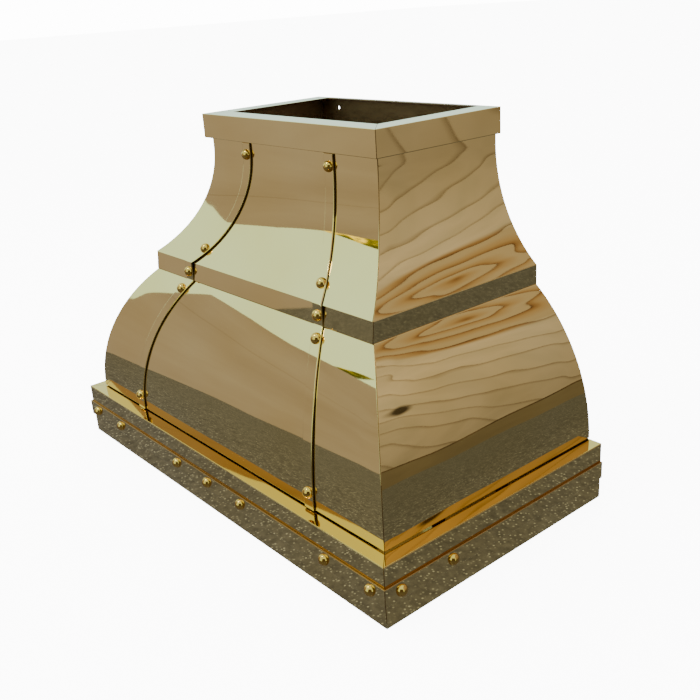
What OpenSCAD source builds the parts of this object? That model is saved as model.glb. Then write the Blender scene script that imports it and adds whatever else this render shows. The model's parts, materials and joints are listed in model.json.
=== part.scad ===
// Wall-mounted kitchen range hood in sheet brass, with its blower insert.
// Origin: middle of the hood on the wall plane, level with the bottom edge.
// +Z is up, the hood's front faces -Y and the wall is the plane y = 0.
//
// Every brass course runs round the front and both sides with one profile. The
// profile is drawn once, as its distance in from the base's outer face (its
// "inset") against the height, and is then run along the front and the sides.

/* [Hood size] */
// Width over the raised strip round the base
hood_width = 1067; // [980:1:1200]
// Depth from the wall to the front of the raised strip
hood_depth = 573; // [570:1:640]
// Height from the bottom edge to the top of the crown
hood_height = 741; // [730:1:800]
// Thickness of the brass sheet
sheet = 1.5; // [1:0.1:2]

/* [Base] */
// Height of the upright band round the base
apron_height = 118; // [112:1:122]
// Height of the raised strip, midway up the base
strip_height = 35; // [30:1:45]
// Height of the strip's lower edge
strip_bottom = 44; // [36:1:50]
// How far the strip and the straps stand off the sheet
bar_thickness = 4; // [3:0.5:6]
// Width of the shelf seen outside the dome
ledge_width = 28; // [24:1:30]
// Shadow gap between the shelf and the dome
ledge_gap = 3; // [2:0.5:5]
// Width of the return along the bottom of the base
return_width = 22; // [18:1:24]

/* [Dome, belt and flare] */
// Height of the lower edge of the belt
belt_bottom = 409; // [395:1:420]
// Height of the flat belt
belt_height = 39; // [35:1:45]
// Distance of the belt's front face in from the base's face
belt_front_inset = 145; // [138:1:152]
// Distance of the belt's side faces in from the base's faces
belt_side_inset = 162; // [150:1:168]
// Distance of the flare's upright top in from the base's face
neck_inset = 264; // [258:1:270]
// Height over which the flare is curved
flare_height = 225; // [210:1:235]

/* [Crown] */
// Height of the crown band
crown_height = 50; // [45:1:60]
// How far the crown stands out from the neck
crown_stand_off = 12; // [8:1:15]
// Width of the crown's flat top at the front and the sides
crown_flange = 48; // [40:1:50]
// Width of the flat top at the back
back_flange = 15; // [10:1:18]

/* [Straps and rivets] */
// Width of each strap
strap_width = 25; // [23:1:30]
// Distance of the straps from the middle line, at the crown
strap_top_x = 134; // [115:1:145]
// Distance of the straps from the middle line, at the shelf
strap_bottom_x = 309; // [295:1:335]
// Diameter of a rivet head
rivet_head = 22; // [16:1:23]
// Height of a rivet head
rivet_rise = 10; // [6:1:10]
// Diameter of a rivet shank
rivet_shank = 6; // [5:0.5:8]

/* [Wall fixing] */
// Spacing of the wall screws, one stud bay
stud_spacing = 406.4; // [380:0.1:420]
// Diameter of the wall screw holes
wall_hole = 7; // [5:0.5:9]

/* [Insert] */
// Diameter over the duct collar
duct_outer = 203; // [150:1:206]
// Height of the duct collar
duct_height = 60; // [50:1:75]
// Diameter of the blower wheel
wheel_diameter = 140; // [120:1:150]
// Depth of each baffle filter, front to back
filter_depth = 376; // [370:1:378]

/* [Hidden] */
$fn = 64;

BRASS = "goldenrod";
STEEL = "lightsteelblue";
ZINC = "silver";
BLACK = "dimgray";
big = 2000;
hair = 0.3;

// Outer faces of the base: half the width, and the depth
half_width = hood_width / 2 - bar_thickness;
depth = hood_depth - bar_thickness;

// The dome and the flare are arcs, each upright at its outer end
belt_top = belt_bottom + belt_height;
neck_bottom = belt_top + flare_height;
crown_bottom = hood_height - crown_height;
crown_inset = neck_inset - crown_stand_off;
dome_bottom = apron_height + ledge_gap;
dome_height = belt_bottom - apron_height;
dome_radius = dome_arc(belt_front_inset);
flare_radius = flare_arc(belt_front_inset);
hole_z = hood_height - 22;
rail_z = 520;

// Rivets on the straps, from the crown down, and along the strip from each corner
strap_rivet_heights = [
    crown_bottom - 26, belt_top + 25, (belt_top + belt_bottom) / 2, belt_bottom - 19,
    apron_height + 34];
strip_rivet_steps = [37, 156];
strip_rivet_middle = 120;
belt_lip = 14;
rivet_tail = 10;
rivet_lift = 0.2;

// Insert: the liner stands on the base's return
liner_x = 490;
liner_front = -532;
liner_rear = -30;
liner_top = 118;
liner_sheet = 1.2;
panel_z = 28;
panel_rear = -434;
filter_z = 26;
filter_thickness = 14;
filter_width = 320;
filter_pitch = 326;
filter_front = -431;
hinge_y = -47;
hinge_z = 33;
rod_diameter = 6;
light_x = 330;
light_y = -484;
knob_x = 60;
box_x = 165;
box_depth = 280;
box_y = -175;
box_top = 400;
collar_y = -165;
collar_wall = 1.5;
damper_z = box_top + 34;
damper_pin_diameter = 4;
scroll_y = -200;
scroll_z = 240;
scroll_radius = 100;
scroll_half = 71;
wheel_z = scroll_z + 10;
wheel_half = 64;
shaft_diameter = 8;
motor_start = 80;
motor_end = 148;
knockout = 22.2;
supply_hole = 28;
supply_x = -330;
supply_z = liner_top + 24;
seam = 0.1;
fit = 0.1;

// ---- Geometry helpers ----------------------------------------------------

// Radius of an arc that starts upright, spreads by s and climbs by h
function arc_radius(s, h) = (h * h + s * s) / (2 * s);

// Radii of the dome and the flare that meet a belt set in by "inset"
function dome_arc(inset) = arc_radius(inset - ledge_width, dome_height);
function flare_arc(inset) = arc_radius(neck_inset - inset, flare_height);

// Distance of the front sheet's face in from the base's face, at height z
function inset_at(z) =
    z > neck_bottom ? neck_inset :
    z > belt_top ? neck_inset - flare_radius + sqrt(pow(flare_radius, 2) - pow(neck_bottom - z, 2)) :
    z > belt_bottom ? belt_front_inset :
    ledge_width + dome_radius - sqrt(pow(dome_radius, 2) - pow(z - apron_height, 2));

// Tilt of the front sheet's face up from level, at height z
function tilt_at(z) =
    z > neck_bottom ? 0 :
    z > belt_top ? asin((neck_bottom - z) / flare_radius) :
    z > belt_bottom ? 0 :
    asin((z - apron_height) / dome_radius);

// How far a strap spreads sideways for each millimetre that the sheet comes forward.
// Seen from above a strap is straight, so it stands upright on the belt
strap_spread = (strap_bottom_x - strap_top_x) / (neck_inset - ledge_width);

// Distance of a strap's middle line from the hood's middle line, at height z
function strap_x(z) = strap_top_x + strap_spread * (neck_inset - inset_at(z));

// The same, at distance y from the wall and half way through the strap
function strap_plan_x(y) = strap_top_x + strap_spread * (neck_inset - depth - y - bar_thickness / 2);

// Each profile is a solid section from the wall or the middle line (x = 0) out
// to the face, "reach" being the base's face, "inset" the belt's distance in from
// it and "cut" the depth below the face
module flare_section(reach, inset, cut, bottom = belt_top, top = hood_height - sheet) {
    radius = flare_arc(inset);
    difference() {
        translate([0, bottom]) square([reach - inset - min(cut, 0), top - bottom]);
        translate([reach - neck_inset - cut, neck_bottom]) square(big);
        translate([reach - neck_inset + radius, neck_bottom])
            circle(r = radius + cut, $fn = 128);
    }
}

module belt_section(reach, inset, cut) {
    translate([0, belt_bottom]) square([reach - inset - cut, belt_height]);
}

module dome_section(reach, inset, cut, top = belt_bottom) {
    radius = dome_arc(inset);
    intersection() {
        translate([0, dome_bottom]) square([reach, top - dome_bottom]);
        translate([reach - ledge_width - radius, apron_height])
            circle(r = radius - cut, $fn = 128);
    }
}

// Section of the whole upper body, "cut" below its faces
module body_section(reach, inset, cut) {
    flare_section(reach, inset, cut);
    belt_section(reach, inset, cut);
    dome_section(reach, inset, cut);
}

// The part of the plan that belongs to the front, bounded by the 45 degree mitres
module front_plan() {
    span = 300;
    out = 10;
    translate([0, 0, -1]) linear_extrude(hood_height + 2)
        polygon([[-half_width - out, -depth - out], [half_width + out, -depth - out],
            [half_width - span, span - depth], [span - half_width, span - depth]]);
}

// The part of the plan that belongs to the right side
module right_plan() {
    span = 300;
    out = 10;
    translate([0, 0, -1]) linear_extrude(hood_height + 2)
        polygon([[half_width + out, -depth - out], [half_width + out, 1],
            [half_width - span, 1], [half_width - span, span - depth]]);
}

module along_front() {
    rotate([0, 0, -90]) rotate([90, 0, 0]) linear_extrude(big, center = true) children();
}

module along_side() {
    rotate([90, 0, 0]) linear_extrude(depth + 20) children();
}

// Runs a section along the front, mitred at both ends
module run_front() {
    intersection() {
        along_front() children();
        front_plan();
    }
}

// Runs a section along the right side, from the wall to the mitre
module run_right() {
    intersection() {
        along_side() children();
        right_plan();
    }
}

module run_left() {
    mirror([1, 0, 0]) run_right() children();
}

// The belt is set in by different amounts at the front and the sides, so the
// corners of the dome, belt and flare leave the 45 degree line. There the front
// sheet laps a hair past the side sheets' faces, and the side sheets stop behind it.
// "short" is how far inside the side faces the front piece stops
module lap_front(short = -0.05) {
    intersection() {
        along_front() children();
        union() {
            along_side() body_section(half_width, belt_side_inset, short);
            mirror([1, 0, 0]) along_side() body_section(half_width, belt_side_inset, short);
            translate([-ledge_width, -depth, 0]) cube([2 * ledge_width, depth, hood_height]);
        }
    }
}

// "behind" is how far behind the front face the side piece stops
module lap_right(behind = sheet) {
    intersection() {
        along_side() children();
        along_front() body_section(depth, belt_front_inset, behind);
    }
}

module at_both_sides(x) {
    for (side = [-1, 1]) translate([side * x, 0, 0]) children();
}

// ---- Fasteners -----------------------------------------------------------

// Domed rivet whose head sits on z = 0 and whose shank goes down through "grip"
module rivet(grip) {
    dome_r = (pow(rivet_head / 2, 2) + rivet_rise * rivet_rise) / (2 * rivet_rise);
    translate([0, 0, rivet_lift]) intersection() {
        translate([0, 0, rivet_rise - dome_r]) sphere(r = dome_r);
        cylinder(h = rivet_rise + 1, d = rivet_head);
    }
    translate([0, 0, -grip - hair]) cylinder(h = grip + hair + rivet_lift + 0.5, d = rivet_shank);
    translate([0, 0, -grip - hair - 2]) cylinder(h = 2, d = rivet_tail);
}

module rivet_hole(grip) {
    translate([0, 0, -grip - 2]) cylinder(h = grip + 4, d = rivet_shank + fit);
}

// Places children on the outer face of a strap, z pointing straight out
module on_strap(side, z) {
    translate([side * strap_x(z), inset_at(z) - depth, z])
        rotate([90 - tilt_at(z), 0, 0]) translate([0, 0, bar_thickness]) children();
}

module on_straps() {
    for (side = [-1, 1], z = strap_rivet_heights) on_strap(side, z) children();
}

// Places children on the outer face of the strip, at the front and both sides
module on_strip() {
    z = strip_bottom + strip_height / 2;
    middle = [-strip_rivet_middle, 0, strip_rivet_middle];
    corners = [for (side = [-1, 1], step = strip_rivet_steps) side * (hood_width / 2 - step)];
    for (x = concat(middle, corners)) translate([x, -hood_depth, z]) rotate([90, 0, 0]) children();
    for (side = [-1, 1], step = strip_rivet_steps)
        translate([side * hood_width / 2, step - hood_depth, z]) rotate([0, side * 90, 0]) children();
}

// Pan-head screw, head down, the head's seat at z = 0
module screw(length, d = 4) {
    translate([0, 0, -2.2]) cylinder(h = 2.2, d = 2 * d);
    translate([0, 0, -hair]) cylinder(h = length + hair, d = d);
}

// ---- Brass shell ---------------------------------------------------------

// Flat back against the wall, with returns along its top and bottom edges
module back_panel() {
    color(BRASS) difference() {
        union() {
            rotate([90, 0, 0]) linear_extrude(sheet) back_outline();
            top_x = half_width - crown_inset - crown_flange;
            translate([-top_x, -back_flange, hood_height - sheet]) cube([2 * top_x, back_flange, sheet]);
            bottom_x = half_width - sheet;
            translate([-bottom_x, -return_width, 0]) cube([2 * bottom_x, return_width, sheet]);
        }
        for (z = [hole_z, rail_z]) at_both_sides(stud_spacing / 2)
            translate([0, 1, z]) rotate([90, 0, 0]) cylinder(h = sheet + 2, d = wall_hole);
        translate([supply_x, 1, supply_z]) rotate([90, 0, 0]) cylinder(h = sheet + 2, d = supply_hole);
    }
}

// Half of the back is drawn and mirrored, inside the side sheets and clear of
// the shelf's and the belt's lips
module back_outline() {
    for (side = [0, 1]) mirror([side, 0]) difference() {
        union() {
            body_section(half_width, belt_side_inset, sheet);
            square([half_width - sheet, apron_height - sheet]);
            translate([0, apron_height - sheet - 1])
                square([half_width - ledge_width - sheet - 1, ledge_gap + sheet + 2]);
            translate([0, crown_bottom + sheet])
                square([half_width - neck_inset - sheet, crown_height - 2 * sheet]);
        }
        ledge_section(half_width);
        belt_lips(half_width, belt_side_inset);
    }
}

// Steel rail inside the back that spreads the load of the lower wall screws
module lower_wall_rail() {
    rail_thickness = 3;
    rail_height = 50;
    rail_length = 570;
    color(ZINC) difference() {
        translate([-rail_length / 2, -sheet - rail_thickness, rail_z - rail_height / 2])
            cube([rail_length, rail_thickness, rail_height]);
        at_both_sides(stud_spacing / 2) translate([0, 1, rail_z])
            rotate([90, 0, 0]) cylinder(h = 10, d = wall_hole);
    }
}

// Crown: band, flat top, and a lip that closes it against the neck
module crown_section(reach) {
    face = reach - crown_inset;
    translate([face - sheet, crown_bottom]) square([sheet, crown_height]);
    translate([face - crown_flange, hood_height - sheet]) square([crown_flange, sheet]);
    translate([reach - neck_inset + hair, crown_bottom])
        square([crown_stand_off - hair, sheet]);
}

module crown_front() {
    color(BRASS) run_front() crown_section(depth);
}

module crown_right() {
    color(BRASS) run_right() crown_section(half_width);
}

module crown_left() {
    color(BRASS) run_left() crown_section(half_width);
}

module flare_sheet(reach, inset) {
    difference() {
        flare_section(reach, inset, 0);
        flare_section(reach, inset, sheet, bottom = belt_top - 1, top = hood_height);
    }
}

module flare_front() {
    color(BRASS) difference() {
        lap_front() flare_sheet(depth, belt_front_inset);
        on_straps() rivet_hole(bar_thickness + sheet);
    }
}

module flare_right() {
    color(BRASS) lap_right() flare_sheet(half_width, belt_side_inset);
}

module flare_left() {
    mirror([1, 0, 0]) flare_right();
}

// Belt: a channel whose lips carry the flare's lower edge and the dome's upper edge
module belt_web(reach, inset) {
    translate([reach - inset - sheet, belt_bottom]) square([sheet, belt_height]);
}

module belt_lips(reach, inset) {
    for (z = [belt_bottom, belt_top - sheet]) translate([reach - inset - belt_lip, z])
        square([belt_lip, sheet]);
}

module belt_front() {
    color(BRASS) difference() {
        union() {
            lap_front() belt_web(depth, belt_front_inset);
            lap_front(sheet) belt_lips(depth, belt_front_inset);
        }
        on_straps() rivet_hole(bar_thickness + sheet);
    }
}

module belt_right() {
    color(BRASS) {
        lap_right() belt_web(half_width, belt_side_inset);
        lap_right(belt_lip) belt_lips(half_width, belt_side_inset);
    }
}

module belt_left() {
    mirror([1, 0, 0]) belt_right();
}

module dome_sheet(reach, inset) {
    difference() {
        dome_section(reach, inset, 0);
        dome_section(reach, inset, sheet);
    }
}

module dome_front() {
    color(BRASS) difference() {
        lap_front() dome_sheet(depth, belt_front_inset);
        on_straps() rivet_hole(bar_thickness + sheet);
    }
}

module dome_right() {
    color(BRASS) lap_right() dome_sheet(half_width, belt_side_inset);
}

module dome_left() {
    mirror([1, 0, 0]) dome_right();
}

// Small angles inside that join the dome's lower edge to the shelf
module dome_brackets() {
    leg = 2;
    length = 30;
    height = 20;
    foot = 6;
    back_off = ledge_width + sheet + 0.6;
    color(ZINC) {
        for (x = [-400, -133, 133, 400]) translate([x - length / 2, back_off - depth, apron_height]) {
            cube([length, foot, leg]);
            cube([length, leg, height]);
        }
        for (side = [0, 1], y = [-430, -270, -110]) mirror([side, 0, 0])
            translate([half_width - back_off - foot, y, apron_height]) {
                cube([foot, length, leg]);
                translate([foot - leg, 0, 0]) cube([leg, length, height]);
            }
    }
}

// Shelf round the top of the base
module ledge_section(reach) {
    tucked = 6;
    translate([reach - ledge_width - tucked, apron_height - sheet])
        square([ledge_width + tucked, sheet]);
}

module ledge_front() {
    color(BRASS) run_front() ledge_section(depth);
}

module ledge_right() {
    color(BRASS) run_right() ledge_section(half_width);
}

module ledge_left() {
    color(BRASS) run_left() ledge_section(half_width);
}

// Upright band round the base, with a return along the bottom that carries the liner
module apron_section(reach) {
    translate([reach - sheet, 0]) square([sheet, apron_height - sheet]);
    translate([reach - return_width, 0]) square([return_width, sheet]);
}

module apron_front() {
    color(BRASS) difference() {
        run_front() apron_section(depth);
        on_strip() rivet_hole(bar_thickness + sheet);
        liner_screw_holes();
    }
}

module apron_right() {
    color(BRASS) difference() {
        run_right() apron_section(half_width);
        translate([0, -return_width, -1]) cube([half_width - sheet, return_width + 1, sheet + 1]);
        on_strip() rivet_hole(bar_thickness + sheet);
        liner_screw_holes();
    }
}

module apron_left() {
    color(BRASS) mirror([1, 0, 0]) apron_right();
}

// Raised strip round the middle of the base
module strip_section(reach) {
    translate([reach, strip_bottom]) square([bar_thickness, strip_height]);
}

module strip_front() {
    color(BRASS) difference() {
        run_front() strip_section(depth);
        on_strip() rivet_hole(bar_thickness + sheet);
    }
}

module strip_right() {
    color(BRASS) difference() {
        run_right() strip_section(half_width);
        on_strip() rivet_hole(bar_thickness + sheet);
    }
}

module strip_left() {
    color(BRASS) mirror([1, 0, 0]) strip_right();
}

// A strap follows the whole profile from the crown to the shelf
module strap_profile() {
    difference() {
        union() {
            flare_section(depth, belt_front_inset, -bar_thickness, top = crown_bottom - hair);
            belt_section(depth, belt_front_inset, -bar_thickness);
            dome_section(depth, belt_front_inset, -bar_thickness, top = belt_bottom + bar_thickness);
        }
        body_section(depth, belt_front_inset, 0);
    }
}

module strap(side) {
    edge = [strap_width / 2, 0];
    front = [side * strap_plan_x(-depth), -depth];
    rear_y = neck_inset - depth + bar_thickness;
    rear = [side * strap_plan_x(rear_y), rear_y];
    color(BRASS) difference() {
        intersection() {
            rotate([0, 0, -90]) rotate([90, 0, 0]) linear_extrude(big, center = true) strap_profile();
            linear_extrude(big) polygon([front - edge, front + edge, rear + edge, rear - edge]);
        }
        on_straps() rivet_hole(bar_thickness + sheet);
    }
}

module strap_left() {
    strap(-1);
}

module strap_right() {
    strap(1);
}

module strap_rivets() {
    color(BRASS) on_straps() rivet(bar_thickness + sheet);
}

module strip_rivets() {
    color(BRASS) on_strip() rivet(bar_thickness + sheet);
}

// ---- Liner, filters, lights and controls ---------------------------------

// Screws up through the base's return into the liner's flange
module at_liner_screws() {
    for (x = [-450, -150, 150, 450]) translate([x, -depth + 15, 0]) children();
    for (side = [-1, 1], y = [-450, -250, -60]) translate([side * (half_width - 15), y, 0]) children();
}

module liner_screw_holes() {
    at_liner_screws() {
        translate([0, 0, -1]) cylinder(h = 6, d = 4.4);
        translate([0, 0, -0.01]) cylinder(h = sheet, d1 = 8.2, d2 = 4.4);
    }
}

// The heads are countersunk flush, so nothing stands below the base
module liner_screws() {
    color(ZINC) at_liner_screws() {
        cylinder(h = sheet, d1 = 7.8, d2 = 4.2);
        cylinder(h = 8, d = 4.2);
        translate([0, 0, sheet + liner_sheet]) cylinder(h = 3, d = 8, $fn = 6);
    }
}

// Sheet wall standing on z = 0 along x, with a foot that reaches out along +y
module footed_wall(span, foot_span, height, foot) {
    translate([-span / 2, 0, 0]) cube([span, liner_sheet, height]);
    translate([-foot_span / 2, 0, 0]) cube([foot_span, foot, liner_sheet]);
}

// Walls of the open-bottomed steel tray that closes the hood. Their feet stand on
// the base's return, and neighbouring walls meet with a hairline seam
module liner_walls() {
    flange = 30;
    rear_flange = 25;
    height = liner_top - liner_sheet - sheet;
    length = liner_rear - liner_front - 2 * (liner_sheet + seam);
    middle_y = (liner_front + liner_rear) / 2;
    color(STEEL) difference() {
        union() {
            translate([0, liner_front + liner_sheet, sheet]) rotate(180)
                footed_wall(2 * liner_x, 2 * (liner_x + flange), height, flange + liner_sheet);
            translate([0, liner_rear - liner_sheet, sheet])
                footed_wall(2 * liner_x, 2 * (liner_x + flange), height, rear_flange + liner_sheet);
            for (side = [0, 1]) mirror([side, 0, 0])
                translate([liner_x - liner_sheet, middle_y, sheet]) rotate(-90)
                    footed_wall(length, length, height, flange + liner_sheet);
        }
        liner_screw_holes();
        translate([-liner_x - 1, hinge_y, hinge_z]) rotate([0, 90, 0])
            cylinder(h = 2 * liner_x + 2, d = rod_diameter + fit);
    }
}

// Top of the tray, open under the blower
module liner_deck() {
    color(STEEL) difference() {
        translate([-liner_x, liner_front, liner_top - liner_sheet])
            cube([2 * liner_x, liner_rear - liner_front, liner_sheet]);
        translate([-box_x + 12, box_y - box_depth / 2 + 12, liner_top - 5])
            cube([2 * box_x - 24, box_depth - 24, 10]);
        at_box_screws() translate([0, 0, -5]) cylinder(h = 10, d = 4.4);
        at_conduit_end() translate([0, 0, liner_top]) cylinder(h = 10, d = 17, center = true);
    }
}

// Wires from the lights and switches come up through the liner under the junction box
module at_conduit_end() {
    translate([supply_x, -110, 0]) children();
}

// Underside panel along the front: lights, switches, and the filters' upper stop
module light_panel() {
    inner_x = liner_x - liner_sheet;
    front = liner_front + liner_sheet;
    riser = 30;
    stop = 7;
    color(STEEL) difference() {
        union() {
            translate([-inner_x, front, panel_z]) cube([2 * inner_x, panel_rear - front, liner_sheet]);
            translate([-inner_x, panel_rear - liner_sheet, panel_z])
                cube([2 * inner_x, liner_sheet, riser]);
            translate([-inner_x, panel_rear - liner_sheet, filter_z + filter_thickness + 0.5])
                cube([2 * inner_x, stop + liner_sheet, liner_sheet]);
        }
        at_both_sides(light_x) translate([0, light_y, panel_z - 1]) cylinder(h = 4, d = 66.6);
        at_both_sides(knob_x) translate([0, light_y, panel_z - 1]) cylinder(h = 4, d = 10);
    }
}

// Rod across the back of the liner on which the filters swing
module filter_hinge_rod() {
    color(ZINC) translate([-liner_x, hinge_y, hinge_z]) rotate([0, 90, 0])
        cylinder(h = 2 * liner_x, d = rod_diameter);
}

// Baffle filter: a frame, two staggered rows of channels, and two hinge eyes
module baffle_filter(x) {
    wall = 2;
    frame_rear = filter_front + filter_depth - 2;
    length = frame_rear - filter_front;
    slats = 9;
    pitch = (filter_width - 2 * wall) / slats;
    slat = pitch * 0.62;
    leaf = 1.5;
    color(ZINC) translate([x, 0, 0]) {
        difference() {
            translate([-filter_width / 2, filter_front, filter_z])
                cube([filter_width, length, filter_thickness]);
            translate([-filter_width / 2 + wall, filter_front + wall, filter_z - 1])
                cube([filter_width - 2 * wall, length - 2 * wall, filter_thickness + 2]);
        }
        for (i = [0:slats - 1]) translate([-filter_width / 2 + wall + (i + 0.5) * pitch, 0, 0]) {
            translate([-slat / 2, filter_front + 1, filter_z + 1]) cube([slat, length - 2, leaf]);
            for (edge = [-slat / 2, slat / 2 - leaf])
                translate([edge, filter_front + 1, filter_z + 1]) cube([leaf, length - 2, 4]);
        }
        for (i = [1:slats - 1]) translate([-filter_width / 2 + wall + i * pitch, 0, 0])
            translate([-slat / 2, filter_front + 1, filter_z + filter_thickness - 2.5])
                cube([slat, length - 2, leaf]);
        for (eye = [-100, 100]) translate([eye, 0, 0]) difference() {
            union() {
                translate([-15, hinge_y, hinge_z]) rotate([0, 90, 0]) cylinder(h = 30, d = 11);
                translate([-15, frame_rear - 1, hinge_z - 4]) cube([30, hinge_y - frame_rear + 1, 8]);
            }
            translate([-16, hinge_y, hinge_z]) rotate([0, 90, 0])
                cylinder(h = 32, d = rod_diameter + fit);
        }
    }
}

// Wire pull on the underside of a filter, near its front edge
module filter_handle(x) {
    wire = 4;
    span = 70;
    drop = 14;
    color(ZINC) translate([x, filter_front + 40, filter_z]) {
        translate([-span / 2, 0, -drop]) rotate([0, 90, 0]) cylinder(h = span, d = wire);
        for (end = [-span / 2, span / 2]) translate([end, 0, -drop]) {
            sphere(d = wire);
            cylinder(h = drop + 1, d = wire);
        }
    }
}

module filter_left() {
    baffle_filter(-filter_pitch);
}

module filter_centre() {
    baffle_filter(0);
}

module filter_right() {
    baffle_filter(filter_pitch);
}

module filter_handle_left() {
    filter_handle(-filter_pitch);
}

module filter_handle_centre() {
    filter_handle(0);
}

module filter_handle_right() {
    filter_handle(filter_pitch);
}

// Lamp cup above the panel
module light_cans() {
    color(ZINC) at_both_sides(light_x) translate([0, light_y, panel_z]) difference() {
        cylinder(h = 36, d = 66);
        translate([0, 0, -1]) cylinder(h = 35, d = 62);
    }
}

// Trim ring under the panel, with a rim that holds the lens
module light_bezels() {
    color(STEEL) at_both_sides(light_x) translate([0, light_y, panel_z]) rotate_extrude()
        polygon([[27, -3], [38, -3], [40, -2], [40, 0], [30.5, 0], [30.5, -1.5], [27, -1.5]]);
}

module light_lenses() {
    color("white") at_both_sides(light_x) translate([0, light_y, panel_z - 1.4])
        cylinder(h = 2.5, d = 60);
}

module switch_bodies() {
    color(BLACK) at_both_sides(knob_x) translate([0, light_y, panel_z + liner_sheet]) difference() {
        translate([-15, -15, 0]) cube([30, 30, 24]);
        translate([0, 0, -1]) cylinder(h = 16, d = rod_diameter + fit);
    }
}

// Knob with a pointer ridge, and its spindle up into the switch
module knob(x) {
    body = 16;
    translate([x, light_y, panel_z]) {
        translate([0, 0, -body - 1]) {
            translate([0, 0, 2]) cylinder(h = body - 2, d = 26);
            cylinder(h = 2, d1 = 23, d2 = 26);
            translate([-1.2, 0, -1]) cube([2.4, 12, 2]);
        }
        translate([0, 0, -2]) cylinder(h = 16, d = rod_diameter);
    }
}

module knob_fan() {
    color(STEEL) knob(-knob_x);
}

module knob_light() {
    color(STEEL) knob(knob_x);
}

// ---- Blower --------------------------------------------------------------

module at_box_screws() {
    for (x = [-1, 1], y = [-1, 1])
        translate([x * (box_x + 8), box_y + y * 90, liner_top]) children();
}

// Walls of the box over the tray's opening. The side walls have a screwed foot
module blower_box_walls() {
    foot = 16;
    height = box_top - liner_sheet - liner_top;
    length = box_depth - 2 * (liner_sheet + seam);
    color(ZINC) difference() {
        union() {
            for (turn = [0, 180]) translate([0, box_y, liner_top]) rotate(turn)
                translate([0, box_depth / 2 - liner_sheet, 0])
                    footed_wall(2 * box_x, 2 * box_x, height, liner_sheet);
            for (side = [0, 1]) mirror([side, 0, 0])
                translate([box_x - liner_sheet, box_y, liner_top]) rotate(-90)
                    footed_wall(length, length, height, foot + liner_sheet);
        }
        at_box_screws() translate([0, 0, -1]) cylinder(h = 5, d = 4.4);
        translate([-box_x - 5, -110, supply_z]) rotate([0, 90, 0]) cylinder(h = 10, d = 16.4);
    }
}

// Top of the box, with the duct outlet
module blower_box_top() {
    color(ZINC) difference() {
        translate([-box_x, box_y - box_depth / 2, box_top - liner_sheet])
            cube([2 * box_x, box_depth, liner_sheet]);
        translate([0, collar_y, box_top - 5]) cylinder(h = 10, d = duct_outer - 2 * collar_wall);
    }
}

module blower_box_screws() {
    color(ZINC) at_box_screws() translate([0, 0, 1.4]) mirror([0, 0, 1]) screw(4);
}

module scroll_outline(shrink) {
    circle(r = scroll_radius - shrink, $fn = 96);
    translate([10 + shrink, 0]) square([scroll_radius - 10 - 2 * shrink, box_top - scroll_z - 1.3]);
}

// Scroll casing of the blower: an inlet in each side and its outlet up into the collar
module scroll_housing() {
    wall = 1.2;
    inlet = 116;
    color(ZINC) translate([0, scroll_y, scroll_z]) difference() {
        rotate([90, 0, 90]) linear_extrude(2 * scroll_half, center = true) scroll_outline(0);
        rotate([90, 0, 90]) linear_extrude(2 * (scroll_half - wall), center = true)
            scroll_outline(wall);
        translate([-scroll_half + wall, 10 + wall, scroll_radius - 10])
            cube([2 * (scroll_half - wall), scroll_radius - 10 - 2 * wall, 200]);
        translate([0, 0, wheel_z - scroll_z]) rotate([0, 90, 0])
            cylinder(h = 4 * scroll_half, d = inlet, center = true);
    }
}

// Three arms that hold the motor in front of one inlet
module motor_bracket() {
    reach = 74;
    arm = 16;
    color(ZINC) translate([scroll_half, scroll_y, wheel_z]) for (turn = [100, 220, 340])
        rotate([turn, 0, 0]) {
            translate([0, reach - arm, -arm / 2]) cube([2, arm, arm]);
            translate([0, reach - arm, -arm / 2]) cube([motor_start - scroll_half, 2, arm]);
            translate([motor_start - scroll_half - 2, 20, -arm / 2]) cube([2, reach - arm - 18, arm]);
        }
}

module motor() {
    color(BLACK) translate([0, scroll_y, wheel_z]) rotate([0, 90, 0]) difference() {
        union() {
            translate([0, 0, motor_start]) cylinder(h = motor_end - motor_start, d = 92);
            translate([0, 0, motor_end]) cylinder(h = 6, d1 = 60, d2 = 50);
        }
        translate([0, 0, motor_start - 1])
            cylinder(h = motor_end - motor_start - 10, d = shaft_diameter + fit);
    }
}

module motor_shaft() {
    color(STEEL) translate([-8, scroll_y, wheel_z]) rotate([0, 90, 0])
        cylinder(h = motor_end - 8, d = shaft_diameter);
}

// Squirrel-cage wheel: a hub and plate, two end rings and forward-curved blades
module blower_wheel() {
    blades = 36;
    ring = 16;
    blade_angle = 30;
    outer = wheel_diameter / 2;
    color(STEEL) translate([0, scroll_y, wheel_z]) rotate([0, 90, 0]) {
        difference() {
            union() {
                translate([0, 0, -1]) cylinder(h = 2, r = outer - 1);
                translate([0, 0, -8]) cylinder(h = 16, d = 26);
                for (end = [-wheel_half, wheel_half - 3]) translate([0, 0, end]) difference() {
                    cylinder(h = 3, r = outer);
                    translate([0, 0, -1]) cylinder(h = 5, r = outer - ring);
                }
                for (i = [0:blades - 1]) rotate(i * 360 / blades) translate([outer - ring / 2 - 0.5, 0, 0])
                    rotate(blade_angle) cube([ring - 2, 1, 2 * wheel_half - 2], center = true);
            }
            translate([0, 0, -10]) cylinder(h = 20, d = shaft_diameter);
        }
    }
}

// Round spigot for the duct, with its foot flange and two stops for the flaps
module duct_collar() {
    inner = duct_outer / 2 - collar_wall;
    color(ZINC) translate([0, collar_y, box_top]) difference() {
        union() {
            rotate_extrude($fn = 128) polygon([[inner, 0], [inner + 14, 0], [inner + 14, 1.2],
                [inner + collar_wall, 1.2], [inner + collar_wall, duct_height], [inner, duct_height]]);
            for (side = [-1, 1]) translate([-6, side * (inner - 3) - 2.5, damper_z - box_top - 3.7])
                cube([12, 5, 3]);
        }
        translate([0, 0, damper_z - box_top]) rotate([0, 90, 0])
            cylinder(h = big, d = damper_pin_diameter, center = true);
    }
}

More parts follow.
